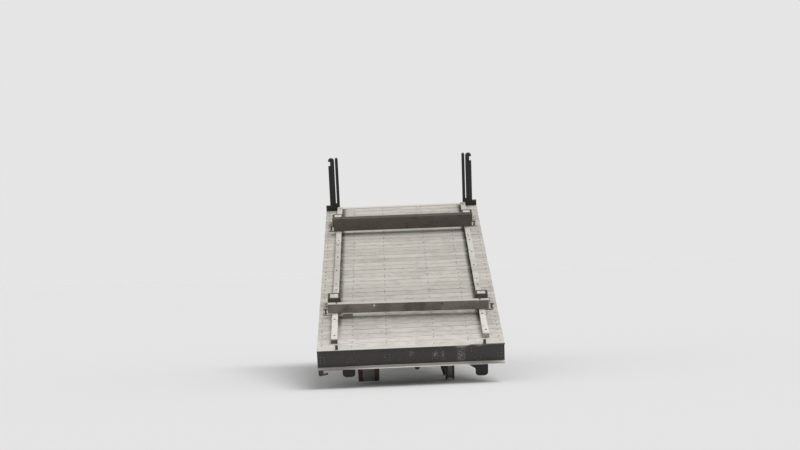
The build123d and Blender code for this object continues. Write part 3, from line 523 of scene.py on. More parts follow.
def wheel_iron(name, downhill):
    """Cast wheel: brown rust on web and hub, worn bright on its tread."""
    recipe = Recipe(name)
    centre = track_point(0, downhill, WHEEL_HEIGHT)
    rise = recipe.math("SUBTRACT", recipe.position(2), centre.z)
    reach = recipe.math("SUBTRACT", recipe.position(1), centre.y)
    radius = recipe.math("SQRT", recipe.math("MULTIPLY_ADD", rise, rise, recipe.times(reach, reach)))
    patch = recipe.noise(10.0, detail=7.0, roughness=0.7)
    grit = recipe.noise(80.0)
    across = recipe.position(0)
    drum = recipe.times(recipe.spread(across, -0.79, -0.77), recipe.spread(across, -0.59, -0.61))
    tread = recipe.times(recipe.spread(across, 0.588, 0.594), recipe.spread(across, 0.672, 0.666))
    rolled = recipe.times(
        recipe.spread(radius, WHEEL_HEIGHT - 0.0025, WHEEL_HEIGHT - 0.001),
        recipe.math("MAXIMUM", drum, tread),
        recipe.spread(patch, 0.25, 0.4, 0.8, 1.0),
    )
    oily = recipe.times(recipe.spread(radius, 0.135, 0.1), recipe.spread(patch, 0.3, 0.5, 0.6, 1.0))
    recipe.colour = recipe.mix(recipe.spread(patch, 0.35, 0.7), WHEEL_RUST, WHEEL_SHADE)
    recipe.lay(recipe.spread(grit, 0.5, 0.75, 0.0, 0.55), WHEEL_GRIT)
    recipe.lay(oily, HUB_OIL)
    recipe.lay(rolled, ROLLED_TREAD)
    normal = recipe.bump(recipe.times(grit, recipe.math("SUBTRACT", 1.0, rolled)), 0.0016, 0.9)
    recipe.finish(recipe.spread(rolled, 0.0, 1.0, 0.85, 0.24), rolled, normal)


def plain_steel(name, tone, roughness):
    """Machined steel dulled by grease and dust."""
    recipe = Recipe(name)
    patch = recipe.noise(12.0, detail=6.0)
    ring = recipe.noise(60.0, recipe.stretched((8.0, 0.6, 0.6)), detail=3.0)
    recipe.colour = recipe.mix(recipe.spread(patch, 0.4, 0.7, 0.0, 0.85), tone, STEEL_FILM)
    recipe.lay(recipe.spread(ring, 0.45, 0.7, 0.0, 0.3), shaded(tone, 1.3))
    rough = recipe.spread(patch, 0.35, 0.7, roughness, roughness + 0.3)
    recipe.finish(rough, 0.75, recipe.bump(ring, 0.0006, 0.5))


def loft(mesh, loops, ring=False):
    """Skin over loops of points, closed by its first and last loop, or on itself."""
    rings = [[mesh.verts.new(point) for point in loop] for loop in loops]
    pairs = list(zip(rings, rings[1:]))
    if ring:
        pairs.append((rings[-1], rings[0]))
    else:
        mesh.faces.new(rings[0][::-1])
        mesh.faces.new(rings[-1])
    for lower, upper in pairs:
        for i in range(len(lower)):
            mesh.faces.new((lower[i - 1], lower[i], upper[i], upper[i - 1]))
    return rings


def solid_box(mesh, matrix, low, high):
    """Box between two corners, in the matrix's frame."""
    low, high = Vector(low), Vector(high)
    place = matrix @ Matrix.Translation((low + high) / 2) @ Matrix.Diagonal((*(high - low), 1))
    return bmesh.ops.create_cube(mesh, size=1, matrix=place)["verts"]


def prism(mesh, matrix, outline, depth):
    """Closed prism: an outline in the matrix's XY, raised along its Z."""
    loft(mesh, [[matrix @ Vector((x, y, height)) for x, y in outline] for height in (0, depth)])


def turned(mesh, matrix, profile, sides, ring=False):
    """Solid turned about the matrix's Z from (radius, height) pairs, or a ring from a closed loop."""
    corners = [(cos(tau * i / sides), sin(tau * i / sides)) for i in range(sides)]
    loft(mesh, [[matrix @ Vector((r * x, r * y, z)) for x, y in corners] for r, z in profile], ring)


def looking(point, direction):
    """Matrix at a point whose Z looks along a direction."""
    return Matrix.Translation(point) @ Vector(direction).to_track_quat("Z", "Y").to_matrix().to_4x4()


def lying(start, direction):
    """Matrix at a point whose X runs along a direction and whose Z is as near to the deck's up as can be."""
    x = Vector(direction).normalized()
    y = DECK_UP.cross(x).normalized()
    return Matrix.Translation(start) @ Matrix((x, y, x.cross(y))).transposed().to_4x4()


def rivet(mesh, point, direction, radius):
    """Round rivet head."""
    shares = ((0.82, 0.42), (0.45, 0.62))
    head = ((radius, -0.001), (radius, 0.12 * radius), *((radius * r, radius * z) for r, z in shares))
    turned(mesh, looking(point, direction), head, 8)


def rivets(mesh, points, direction, radius):
    """Rivet heads at several points."""
    for point in points:
        rivet(mesh, point, direction, radius)


def bolt(mesh, point, direction, radius, spin=0.0, stud=0.0):
    """Washer and hexagon nut or head, with a stud's end where one stands out."""
    place = looking(point, direction) @ Matrix.Rotation(spin, 4, "Z")
    washer = ((1.45 * radius, -0.001), (1.45 * radius, 0.16 * radius), (1.3 * radius, 0.22 * radius))
    turned(mesh, place, washer, 16)
    nut = ((radius, 0.1 * radius), (radius, 0.75 * radius), (0.86 * radius, 0.92 * radius))
    turned(mesh, place, nut, 6)
    if stud:
        end = ((0.55 * radius, 0.5 * radius), (0.55 * radius, stud), (0.42 * radius, stud + 0.002))
        turned(mesh, place, end, 10)


def row(start, end, count):
    """Evenly spaced points from one to another."""
    start, end = Vector(start), Vector(end)
    return [start.lerp(end, i / (count - 1)) for i in range(count)]


def mirrored(half, middle):
    """Whole section of (radius, height) pairs from its half above the middle."""
    return [*((r, middle - z) for r, z in half[::-1]), *((r, middle + z) for r, z in half)]


def thread(radius, start, end, pitch=0.005, cut=0.0016):
    """Profile of a screw thread as ridges."""
    count = round((end - start) / pitch)
    step = (end - start) / count
    ridges = [(radius - cut * (i % 2 == 0), start + i * step / 2) for i in range(2 * count)]
    return [*ridges, (radius - cut, end)]


def arc(centre, radius, start, end, count=9):
    """Points on an arc, angles in degrees."""
    turns = (radians(start + (end - start) * i / (count - 1)) for i in range(count))
    return [(centre[0] + radius * cos(turn), centre[1] + radius * sin(turn)) for turn in turns]


def log(mesh, matrix, length, section, steps, wear, seed, tone=0.5, cup=0.0, ends=(0.0, 0.0), narrow=0.0):
    """Sawn timber lofted along the matrix's X: its skin worn by noise, its tone kept on each corner."""
    layer = mesh.verts.layers.float.get("tone") or mesh.verts.layers.float.new("tone")
    half = max(abs(y) for y, _ in section)
    loops = []
    for step in range(steps + 1):
        x = ends[0] + (length - ends[0] - ends[1]) * step / steps
        inset = narrow * max(0.0, 4 * x / length - 3)
        loop = []
        for y, z in section:
            ragged = noise.noise(Vector((x * 2.3, y * 9.0 + seed * 3.1, z * 9.0 + seed)))
            ragged += 0.5 * noise.noise(Vector((x * 9.4, y * 36.9 + seed * 12.7, z * 36.9 + seed * 4.1)))
            inward = 1 - (wear * (0.5 + 0.5 * ragged) + inset) / half
            dip = (cup * (1 - (y / half) ** 2) + wear * 0.35 * abs(ragged)) if z > -1e-6 else 0.0
            loop.append(matrix @ Vector((x, y * inward, z - dip)))
        loops.append(loop)
    for ring in loft(mesh, loops):
        for vertex in ring:
            vertex[layer] = tone


def sawn(width, depth, corner, across=4):
    """Section of a timber with rounded corners, top at zero: points (y, z) from the lower left."""
    half = width / 2
    top = [(half - corner - (width - 2 * corner) * i / across, 0.0) for i in range(across + 1)]
    cut = 0.3 * corner
    right = [
        (half - cut, -depth), (half, cut - depth), (half, -depth / 2), (half, -corner), (half - cut, -cut)
    ]
    return [(cut - half, -depth), *right, *top, *((-y, z) for y, z in right[:0:-1])]


def round_edges(piece, width):
    """Round a piece's sharp edges a little and keep its flat faces flat."""
    modifier = piece.modifiers.new("edges", "BEVEL")
    modifier.width = width
    modifier.segments = 2
    modifier.limit_method = "ANGLE"
    modifier.angle_limit = EDGE_ANGLE
    modifier.harden_normals = True


def make_piece(name, mesh, slot, stands_for=None, finish=None, body=CAR, edge=0.0):
    """Object of a mesh, riding on a body, with the finish of its slot or another one."""
    bmesh.ops.recalc_face_normals(mesh, faces=mesh.faces)
    data = bpy.data.meshes.new(name)
    mesh.to_mesh(data)
    mesh.free()
    data.materials.append(finishes[finish or slot])
    data.polygons.foreach_set("use_smooth", [True] * len(data.polygons))
    data.set_sharp_from_angle(angle=SMOOTH_ANGLE)
    piece = bpy.data.objects.new(name, data)
    bpy.context.scene.collection.objects.link(piece)
    if edge:
        round_edges(piece, edge)
    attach(piece, body)
    if stands_for:
        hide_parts(stands_for)


def length_setting(name, description, default):
    """Length that a user may change."""
    return FloatProperty(name=name, description=description, default=default, unit="LENGTH")


def colour_setting(name, description, default):
    """Colour that a user may change."""
    return FloatVectorProperty(
        name=name, description=description, subtype="COLOR", default=default, min=0, max=1
    )


class PlatformCarDeck(PropertyGroup):
    """Sizes and colours of the deck's timbers."""

    board_gap: length_setting("Board gap", "Gap between two boards", 0.004)
    board_wear: length_setting("Board wear", "Depth worn off the boards' edges", 0.004)
    board_cup: length_setting("Board cup", "Hollow across a board's top", 0.0015)
    bolt_size: length_setting("Deck bolt", "Radius of the bolt heads in the boards", 0.011)
    seed: IntProperty(name="Seed", description="Starts the boards' random tones and wear", default=7)
    board_pale: colour_setting("Pale board", "Sun-bleached wood", (0.73, 0.70, 0.64))
    board_dark: colour_setting("Dark grain", "Grain and stains of the boards", (0.38, 0.35, 0.305))
    curb_pale: colour_setting("Pale curb", "Sun-bleached curbs", (0.80, 0.77, 0.705))
    curb_dark: colour_setting("Curb grain", "Grain and stains of the curbs", (0.42, 0.385, 0.335))
    beam_pale: colour_setting("Front beam", "Grey wood of the front chock beam", (0.30, 0.27, 0.235))
    beam_dark: colour_setting("Front beam's grain", "Dark grain of that beam", (0.11, 0.098, 0.085))
    rear_beam_pale: colour_setting("Rear beam", "Oiled wood of the rear chock beam", (0.15, 0.13, 0.112))
    rear_beam_dark: colour_setting("Rear beam's grain", "Dark grain of that beam", (0.06, 0.052, 0.045))
    pad_pale: colour_setting("Clamp pad", "New wood of the pads in the clamps", (0.88, 0.85, 0.79))


class PlatformCarPaint(PropertyGroup):
    """Colours and small sizes of the steelwork and fittings."""

    frame_paint: colour_setting("Frame paint", "Old dark paint on the frame", (0.035, 0.033, 0.031))
    headstock_paint: colour_setting("Headstock paint", "Paint on the end beams", (0.043, 0.040, 0.038))
    black_paint: colour_setting("Black paint", "Paint on stanchions and brackets", (0.016, 0.016, 0.016))
    washer_paint: colour_setting("Pale washer", "The new washer on the front beam", (0.80, 0.78, 0.74))
    fitting_iron: colour_setting("Fitting iron", "Clamps, bolts and rope socket", (0.10, 0.088, 0.078))
    casting: colour_setting("Castings", "Axle boxes and brake frame", (0.06, 0.053, 0.048))
    brake_iron: colour_setting("Brake iron", "Jaws and screw of the rail brake", (0.12, 0.11, 0.10))
    axle_steel: colour_setting("Axle steel", "Turned axles and their collars", (0.22, 0.20, 0.185))
    rivet_size: length_setting("Rivet", "Radius of the rivet heads", 0.012)
    edge_size: length_setting("Edge", "Rounding of the steelwork's edges", 0.002)


class PlatformCarStage(PropertyGroup):
    """Floor, light and camera."""

    floor_tone: FloatProperty(
        name="Floor", description="Brightness of the floor", default=0.86, min=0, max=1
    )
    backdrop_tone: FloatProperty(
        name="Backdrop", description="Brightness behind the car", default=0.785, min=0, max=1
    )
    sky_light: FloatProperty(name="Sky light", description="Strength of the even light", default=0.50, min=0)
    key_light: FloatProperty(
        name="Key light", description="Strength of the high soft light", default=1.38, min=0
    )
    key_softness: FloatProperty(
        name="Key softness", description="Width of the key light", default=radians(40), subtype="ANGLE"
    )
    lens: FloatProperty(name="Lens", description="Focal length in millimetres", default=76.455, min=1)


class PlatformCarFinishes(Operator):
    """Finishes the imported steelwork: materials by slot and slightly rounded edges"""

    bl_idname = "platform_car.finishes"
    bl_label = "Finish the steelwork"

    # How much rounder than rolled steel the edges of a slot are
    ROUNDER = {"cast_iron": 3.0, "brake_steel": 2.0}

    def execute(self, context):
        paint = context.scene.platform_car_paint
        self.timbers(context.scene.platform_car_deck)
        self.metals(paint)
        slots = {part["node"]: part["material_slot"] for part in frame["record"]["subparts"]}
        for node, piece in frame["nodes"].items():
            slot = slots[node]
            # Each axle's wheels have a finish of their own
            finish = finishes.get(slot) or finishes[node.replace("wheels", slot)]
            piece.data.materials.clear()
            piece.data.materials.append(finish)
            weld = piece.modifiers.new("weld", "WELD")
            weld.merge_threshold = 0.00002
            if slot != "axle_steel":
                round_edges(piece, paint.edge_size * self.ROUNDER.get(slot, 1.0))
        return {"FINISHED"}

    def timbers(self, deck):
        """Finishes of the boards, the curbs, the chock beams and the clamps' pads."""
        timber("deck_timber", deck.board_pale, deck.board_dark, GRAIN_ACROSS, True, 0.25, 0.5, board_marks)
        timber("curb_timber", deck.curb_pale, deck.curb_dark, GRAIN_ALONG, True, 0.35, 0.6, curb_marks)
        timber("chock_timber", deck.beam_pale, deck.beam_dark, GRAIN_ACROSS, grime=0.6, marks=beam_marks)
        timber("dark_timber", deck.rear_beam_pale, deck.rear_beam_dark, GRAIN_ACROSS, grime=0.5)
        timber("pale_timber", deck.pad_pale, deck.board_dark, GRAIN_ALONG, grime=0.15)

    def metals(self, paint):
        """Finishes of the painted steel, the bare iron, the axles and the wheels."""
        painted_steel("headstock_steel", paint.headstock_paint, 0.35, 0.25, headstock_marks)
        painted_steel("frame_steel", paint.frame_paint, 0.55)
        painted_steel("black_iron", paint.black_paint, 0.15, 0.3)
        painted_steel("new_iron", paint.washer_paint, 0.05, 0.1)
        bare_iron("fitting_iron", paint.fitting_iron)
        bare_iron("dusty_iron", paint.fitting_iron, dust=DECK_DUST, dusting=(0.75, 0.95))
        bare_iron("cast_iron", paint.casting, 0.35, 0.5)
        bare_iron("brake_steel", paint.brake_iron, 0.3, 0.8)
        plain_steel("axle_steel", paint.axle_steel, 0.38)
        for name, downhill in AXLES:
            wheel_iron(f"wheel_steel_{name}", downhill)


class PlatformCarBoards(Operator):
    """Lays the weathered deck boards and their bolts"""

    bl_idname = "platform_car.boards"
    bl_label = "Lay the deck boards"

    EDGE_BOLTS = 1.41
    BOLTS_ACROSS = (-EDGE_BOLTS, -STRINGER_X, -TRUSS_X, TRUSS_X, STRINGER_X, EDGE_BOLTS)
    BOLT_REACH = 0.045
    # Joints along the deck that stand open at the right end, and by how much their board shrank
    OPEN_JOINTS = (0.88, 2.32, 3.52, 5.48)
    SHRINKAGE = 0.007

    def execute(self, context):
        deck = context.scene.platform_car_deck
        draw = Random(deck.seed)
        boards = bmesh.new()
        bolts = bmesh.new()
        section = sawn(BOARD_PITCH - deck.board_gap, BOARD_THICKNESS, 0.006)
        shrunk = {round((joint - BOARD_START) / BOARD_PITCH) - 1 for joint in self.OPEN_JOINTS}
        for index in range(BOARD_COUNT):
            along = BOARD_START + (index + 0.5) * BOARD_PITCH
            sink = draw.uniform(0.0, 0.0025)
            ends = (draw.uniform(0.0005, 0.008), draw.uniform(0.0005, 0.008))
            place = deck_frame(-DECK_HALF, along, -sink)
            wear = deck.board_wear * draw.uniform(0.5, 1.3)
            narrow = self.SHRINKAGE if index in shrunk else 0.0
            seed, tone = index * 1.7, draw.random()
            log(boards, place, 2 * DECK_HALF, section, 60, wear, seed, tone, deck.board_cup, ends, narrow)
            for across in self.BOLTS_ACROSS:
                side = draw.choice((-1, 1)) * self.BOLT_REACH
                head = on_deck(across + draw.uniform(-0.006, 0.006), along + side, -sink - 0.003)
                rivet(bolts, head, DECK_UP, deck.bolt_size)
        make_piece("deck_planks", boards, "deck_timber", "deck_boards")
        make_piece("deck_bolts", bolts, "fitting_iron")
        return {"FINISHED"}


class PlatformCarTimbers(Operator):
    """Cuts the worn curbs and chock beams and bolts them down"""

    bl_idname = "platform_car.timbers"
    bl_label = "Cut the curbs and chock beams"

    # Where the curbs' lengths meet, and the bolts' places as shares of a length and of a beam's reach
    CURB_JOINTS = (CURB_START, 2.65, 4.98, CURB_END)
    CURB_BOLTS = (0.06, 0.36, 0.66, 0.94)
    FACE_BOLTS = (-0.42, 0.42)
    TOP_BOLTS = (-0.89, 0.89)
    # Packing block under the front beam's left end: start across, length, width
    PACKING = (-1.08, 0.16, 0.10)

    def execute(self, context):
        draw = Random(context.scene.platform_car_deck.seed + 1)
        bolts = bmesh.new()
        washers = bmesh.new()
        for name, hand in SIDES:
            self.curb(name, hand, draw, bolts)
        for chock in CHOCKS:
            self.beam(*chock, draw, bolts, washers)
        make_piece("timber_bolts", bolts, "fitting_iron")
        make_piece("beam_washer", washers, "fitting_iron", finish="new_iron")
        return {"FINISHED"}

    def curb(self, name, hand, draw, bolts):
        """One curb of three lengths, bolted to the boards."""
        mesh = bmesh.new()
        middle = hand * CURB_MIDDLE
        section = sawn(CURB_OUTER - CURB_INNER, CURB_HEIGHT - 0.002, 0.012, across=5)
        for start, end in zip(self.CURB_JOINTS, self.CURB_JOINTS[1:]):
            place = lying(on_deck(middle, start, CURB_HEIGHT - draw.uniform(0, 0.002)), DECK_ALONG)
            seed, tone = draw.uniform(0, 50), draw.random()
            log(mesh, place, end - start, section, 48, 0.006, seed, tone, 0, (0.0015, 0.0015))
            for share in self.CURB_BOLTS:
                across = middle + draw.uniform(-0.008, 0.008)
                point = on_deck(across, start + share * (end - start), CURB_HEIGHT - 0.004)
                bolt(bolts, point, DECK_UP, 0.013, draw.uniform(0, 1))
        make_piece(f"curb_timber_{name}", mesh, "curb_timber", f"curb_{name}")

    def beam(self, name, face, turn, depth, height, reach, slot, drop, draw, bolts, washers):
        """One chock beam across the curbs, turned a little, with its bolts."""
        mesh = bmesh.new()
        across = ACROSS * cos(turn) + DECK_ALONG * sin(turn)
        middle = on_deck(0, face + depth / 2, CURB_HEIGHT + height)
        section = sawn(depth, height, 0.014, across=5)
        log(mesh, lying(middle - across * reach, across), 2 * reach, section, 80, 0.007, draw.uniform(0, 50))
        if name == "front":
            start, length, width = self.PACKING
            block = lying(on_deck(start, face + depth / 2, CURB_HEIGHT + 0.004), ACROSS)
            log(mesh, block, length, sawn(width, CURB_HEIGHT + 0.002, 0.01), 6, 0.004, 3.0)
        make_piece(f"chock_timber_{name}", mesh, slot, f"chock_beam_{name}")
        along = across.cross(DECK_UP).normalized() * -1
        for share in self.FACE_BOLTS:
            spot = middle + across * share * reach - DECK_UP * drop * height - along * (depth / 2 - 0.004)
            if name == "front" and share < 0:
                bolt(washers, spot, -along, 0.010, share)
            else:
                bolt(bolts, spot, -along, 0.015, share)
        for share in self.TOP_BOLTS:
            bolt(bolts, middle + across * share * reach - DECK_UP * 0.004, DECK_UP, 0.016, share, 0.022)


class PlatformCarClamps(Operator):
    """Makes the curb clamps: iron trays with wooden pads, sole plates and T-handled screws"""

    bl_idname = "platform_car.clamps"
    bl_label = "Make the curb clamps"

    SEAT = 0.0003
    SOLE_WIDTH = 0.14
    SOLE_LENGTH = 0.56
    SOLE_THICKNESS = 0.012
    SOLE_BOLTS = (0.12, 0.24, 0.36, 0.50)
    TRAY_TOP = 0.18
    TRAY_RIM = 0.036
    TRAY_DEPTH = 0.03
    CHEEK_INSIDE = 0.025
    CHEEK_OUTSIDE = 0.075
    SCREW_ALONG = 0.045

    def execute(self, context):
        draw = Random(context.scene.platform_car_deck.seed + 2)
        for clamp in CLAMPS:
            self.clamp(*clamp, draw)
        return {"FINISHED"}

    def clamp(self, name, hand, plate_start, block_start, block_length, screw_inset, draw):
        """One clamp: its tray astride the curb, its pad, and its sole plate outside the curb."""
        iron = bmesh.new()
        wood = bmesh.new()
        sole = bmesh.new()

        def box(mesh, inner, outer, start, end, low, high):
            sides = sorted((hand * inner, hand * outer))
            return solid_box(mesh, deck_frame(0, 0), (sides[0], start, low), (sides[1], end, high))

        # Sole plate, the tray's two cheeks, and the tray itself with its top sunk inside a rim
        sole_edge = CURB_OUTER + self.SEAT + self.SOLE_WIDTH
        plate_end = plate_start + self.SOLE_LENGTH
        box(sole, CURB_OUTER + self.SEAT, sole_edge, plate_start, plate_end, 0.0, self.SOLE_THICKNESS)
        block_end = block_start + block_length
        inner = CURB_INNER - self.SEAT - self.CHEEK_INSIDE
        outer = CURB_OUTER + self.SEAT + self.CHEEK_OUTSIDE
        middle = hand * (inner + outer) / 2
        box(iron, inner, CURB_INNER - self.SEAT, block_start, block_end, 0.03, CURB_HEIGHT + 0.01)
        box(iron, CURB_OUTER + self.SEAT, outer, block_start, block_end, 0.0, CURB_HEIGHT + 0.01)
        corners = box(iron, inner, outer, block_start, block_end, CURB_HEIGHT, self.TRAY_TOP)
        faces = {face for corner in corners for face in corner.link_faces}
        top = max(faces, key=lambda face: face.calc_center_median().dot(DECK_UP))
        bmesh.ops.inset_region(iron, faces=[top], thickness=self.TRAY_RIM, depth=0)
        bmesh.ops.translate(iron, verts=top.verts[:], vec=DECK_UP * -self.TRAY_DEPTH)

        # Wooden pad, 1 mm clear of the rim all round
        rim = self.TRAY_RIM + 0.001
        pad = lying(on_deck(middle, block_start + rim, self.TRAY_TOP - 0.0015), DECK_ALONG)
        section = sawn(outer - inner - 2 * rim, self.TRAY_DEPTH - 0.002, 0.004, across=6)
        log(wood, pad, block_length - 2 * rim, section, 12, 0.003, draw.uniform(0, 50), draw.random() * 0.4)

        # Strap bolts down the block's two ends, a bolt in the pad, and studs through the sole plate
        for along, direction in ((block_start, -DECK_ALONG), (block_end, DECK_ALONG)):
            for across in (inner + 0.035, outer - 0.035):
                bolt(iron, on_deck(hand * across, along, 0.13), direction, 0.012, draw.uniform(0, 1))
        bolt(iron, on_deck(middle, block_end - 0.05, self.TRAY_TOP - 0.0045), DECK_UP, 0.010, 0.4)
        for along in self.SOLE_BOLTS:
            stud = on_deck(hand * (CURB_OUTER + 0.11), plate_start + along, self.SOLE_THICKNESS)
            bolt(iron, stud, DECK_UP, 0.011, draw.uniform(0, 1), 0.016)

        self.screw(iron, hand * (sole_edge - screw_inset), plate_start + self.SCREW_ALONG)
        make_piece(f"clamp_iron_{name}", iron, "fitting_iron", f"curb_clamp_{name}", edge=0.0018)
        make_piece(f"clamp_pad_{name}", wood, "chock_timber", finish="pale_timber")
        make_piece(f"clamp_sole_{name}", sole, "fitting_iron", finish="dusty_iron", edge=0.002)

    def screw(self, mesh, across, along):
        """Threaded stem with a hexagon at its foot, a turned head and a cross handle."""
        stem = looking(on_deck(across, along), DECK_UP)
        turned(mesh, stem, ((0.022, 0.010), (0.022, 0.022), (0.019, 0.026)), 6)
        turned(mesh, stem, thread(0.012, 0.02, 0.072), 20)
        head = ((0.013, 0.066), (0.0165, 0.072), (0.0175, 0.082), (0.0165, 0.093), (0.011, 0.099))
        turned(mesh, stem, head, 20)
        handle = looking(on_deck(across, along, 0.083), ACROSS)
        half = ((0.009, 0.016), (0.0115, 0.025), (0.010, 0.031), (0.006, 0.034))
        turned(mesh, handle, mirrored(half, 0.0), 16)


class PlatformCarKnees(Operator):
    """Cuts the rounded knee plates that hang below the front headstock"""

    bl_idname = "platform_car.knees"
    bl_label = "Cut the knee plates"

    THICKNESS = 0.012
    TOP = -0.18
    LOBE = 0.06
    THROAT = 0.04

    def execute(self, context):
        turned_up = Matrix(((1, 0, 0), (0, 0, -1), (0, 1, 0))).to_4x4()
        place = deck_frame(0, BOARD_START + self.THICKNESS) @ turned_up
        for name, hand, outer, width, drop in KNEES:
            mesh = bmesh.new()
            lobe = self.LOBE - HEADSTOCK_DEPTH - drop
            outline = [
                (outer, self.TOP),
                *arc((outer - self.LOBE, lobe), self.LOBE, 0, -90),
                *arc((outer - self.LOBE - 0.08, lobe), self.LOBE, -90, -180),
                *arc((outer - 0.24, lobe + 0.045), self.THROAT, 0, 50, 6),
                (outer - width, -HEADSTOCK_DEPTH - 0.02),
                (outer - width, self.TOP),
            ]
            prism(mesh, place, [(hand * x, up) for x, up in outline], self.THICKNESS)
            make_piece(f"knee_plate_{name}", mesh, "black_iron", f"knee_bracket_{name}", edge=0.002)
        return {"FINISHED"}


class PlatformCarWheels(Operator):
    """Casts the spoked wheels and turns the collars on their axles"""

    bl_idname = "platform_car.wheels"
    bl_label = "Cast the wheels"

    # Upper halves of the sections that are the same on both sides: radius, distance from the middle
    DRUM_MIDDLE = -0.69
    DRUM_RIM = (
        (0.300, 0.167), (0.297, 0.170), (0.268, 0.170), (0.266, 0.167), (0.266, 0.030), (0.262, 0.020),
        (0.256, 0.015), (0.248, 0.013),
    )
    DRUM_HUB = (
        (0.0553, 0.090), (0.090, 0.090), (0.097, 0.085), (0.103, 0.035), (0.107, 0.022), (0.114, 0.015),
        (0.124, 0.013),
    )
    FLANGE = (
        (0.300, 0.030), (0.301, 0.036), (0.306, 0.040), (0.323, 0.046), (0.326, 0.052), (0.326, 0.063),
        (0.324, 0.068), (0.320, 0.070),
    )
    # The flanged wheel's inside and hub: radius, place across
    FLANGED_INSIDE = (
        (0.268, 0.700), (0.266, 0.697), (0.266, 0.604), (0.262, 0.594), (0.256, 0.588), (0.248, 0.586),
        (0.248, 0.560),
    )
    FLANGED_HUB = (
        (0.0553, 0.560), (0.0553, 0.740), (0.090, 0.740), (0.097, 0.735), (0.103, 0.610), (0.107, 0.596),
        (0.114, 0.588), (0.124, 0.586), (0.124, 0.560),
    )
    # Spokes: six to a wheel, at the web's middle across; sections by reach, width, thickness
    SPOKE_COUNT = 6
    WEBS = (DRUM_MIDDLE, 0.573)
    SPOKE_SIDES = 20
    SPOKE = (
        (0.112, 0.074, 0.0258), (0.122, 0.066, 0.0256), (0.135, 0.059, 0.025), (0.160, 0.055, 0.0245),
        (0.200, 0.053, 0.024), (0.228, 0.055, 0.0245), (0.242, 0.061, 0.0252), (0.250, 0.068, 0.0256),
        (0.258, 0.076, 0.0258),
    )
    # Collars' starts across, and the end covers' places with the way that they look
    COLLARS = (-0.470, 0.445)
    COVERS = ((-0.882, -1), (0.762, 1))
    COVER = ((0.044, -0.004), (0.044, 0.007), (0.042, 0.009), (0.012, 0.009), (0.008, 0.005))

    def execute(self, context):
        for name, downhill in AXLES:
            centre = looking(track_point(0, downhill, WHEEL_HEIGHT), ACROSS)
            self.castings(name, downhill, centre)
            self.collars(name, downhill, centre)
        return {"FINISHED"}

    def castings(self, name, downhill, centre):
        """The drum wheel and the flanged wheel of one axle."""
        mesh = bmesh.new()
        flanged_rim = [*mirrored(self.FLANGE, WHEEL_X), *self.FLANGED_INSIDE]
        for rim in (mirrored(self.DRUM_RIM, self.DRUM_MIDDLE), flanged_rim):
            turned(mesh, centre, rim, 120, ring=True)
        for hub in (mirrored(self.DRUM_HUB, self.DRUM_MIDDLE), self.FLANGED_HUB):
            turned(mesh, centre, hub, 64, ring=True)
        for web in self.WEBS:
            for spoke in range(self.SPOKE_COUNT):
                self.spoke(mesh, downhill, web, tau * (spoke + 0.5) / self.SPOKE_COUNT)
        finish, body = f"wheel_steel_{name}", f"wheelset_{name}"
        make_piece(f"wheel_castings_{name}", mesh, "wheel_steel", f"wheels_{name}", finish, body)

    def spoke(self, mesh, downhill, web, turn):
        """Oval spoke between hub and rim, widening into both."""
        out = Vector((0, cos(turn), sin(turn)))
        side = Vector((0, -sin(turn), cos(turn)))
        loops = []
        for reach, width, thickness in self.SPOKE:
            loop = []
            for i in range(self.SPOKE_SIDES):
                c, s = cos(tau * i / self.SPOKE_SIDES), sin(tau * i / self.SPOKE_SIDES)
                squared = max(abs(c), abs(s)) ** -0.55
                x = web + thickness / 2 * s * min(squared, 1 / max(abs(s), 0.001))
                y = width / 2 * c * min(squared, 1 / max(abs(c), 0.001))
                loop.append(track_point(x, downhill, WHEEL_HEIGHT) + out * reach + side * y)
            loops.append(loop)
        loft(mesh, loops)

    def collars(self, name, downhill, centre):
        """Collars beside the axle boxes, and the end covers with their three bolts."""
        mesh = bmesh.new()
        for start in self.COLLARS:
            collar = (
                (0.0552, start), (0.0552, start + 0.025), (0.072, start + 0.025), (0.074, start + 0.022),
                (0.074, start + 0.003), (0.072, start),
            )
            turned(mesh, centre, collar, 48, ring=True)
        for end, out in self.COVERS:
            turned(mesh, looking(track_point(end, downhill, WHEEL_HEIGHT), ACROSS * out), self.COVER, 40)
            bolt_circle(mesh, end + out * 0.009, downhill, out, 0.028, 3, 0.008, 0.5)
        make_piece(f"axle_collars_{name}", mesh, "axle_steel", body=f"wheelset_{name}")


def bolt_circle(mesh, across, downhill, out, reach, count, size, start=0.0):
    """Bolts in a circle about an axle, on a face that looks out along it."""
    for spot in range(count):
        turn = tau * spot / count + start
        point = track_point(across, downhill + reach * cos(turn), WHEEL_HEIGHT + reach * sin(turn))
        bolt(mesh, point, ACROSS * out, size, turn)


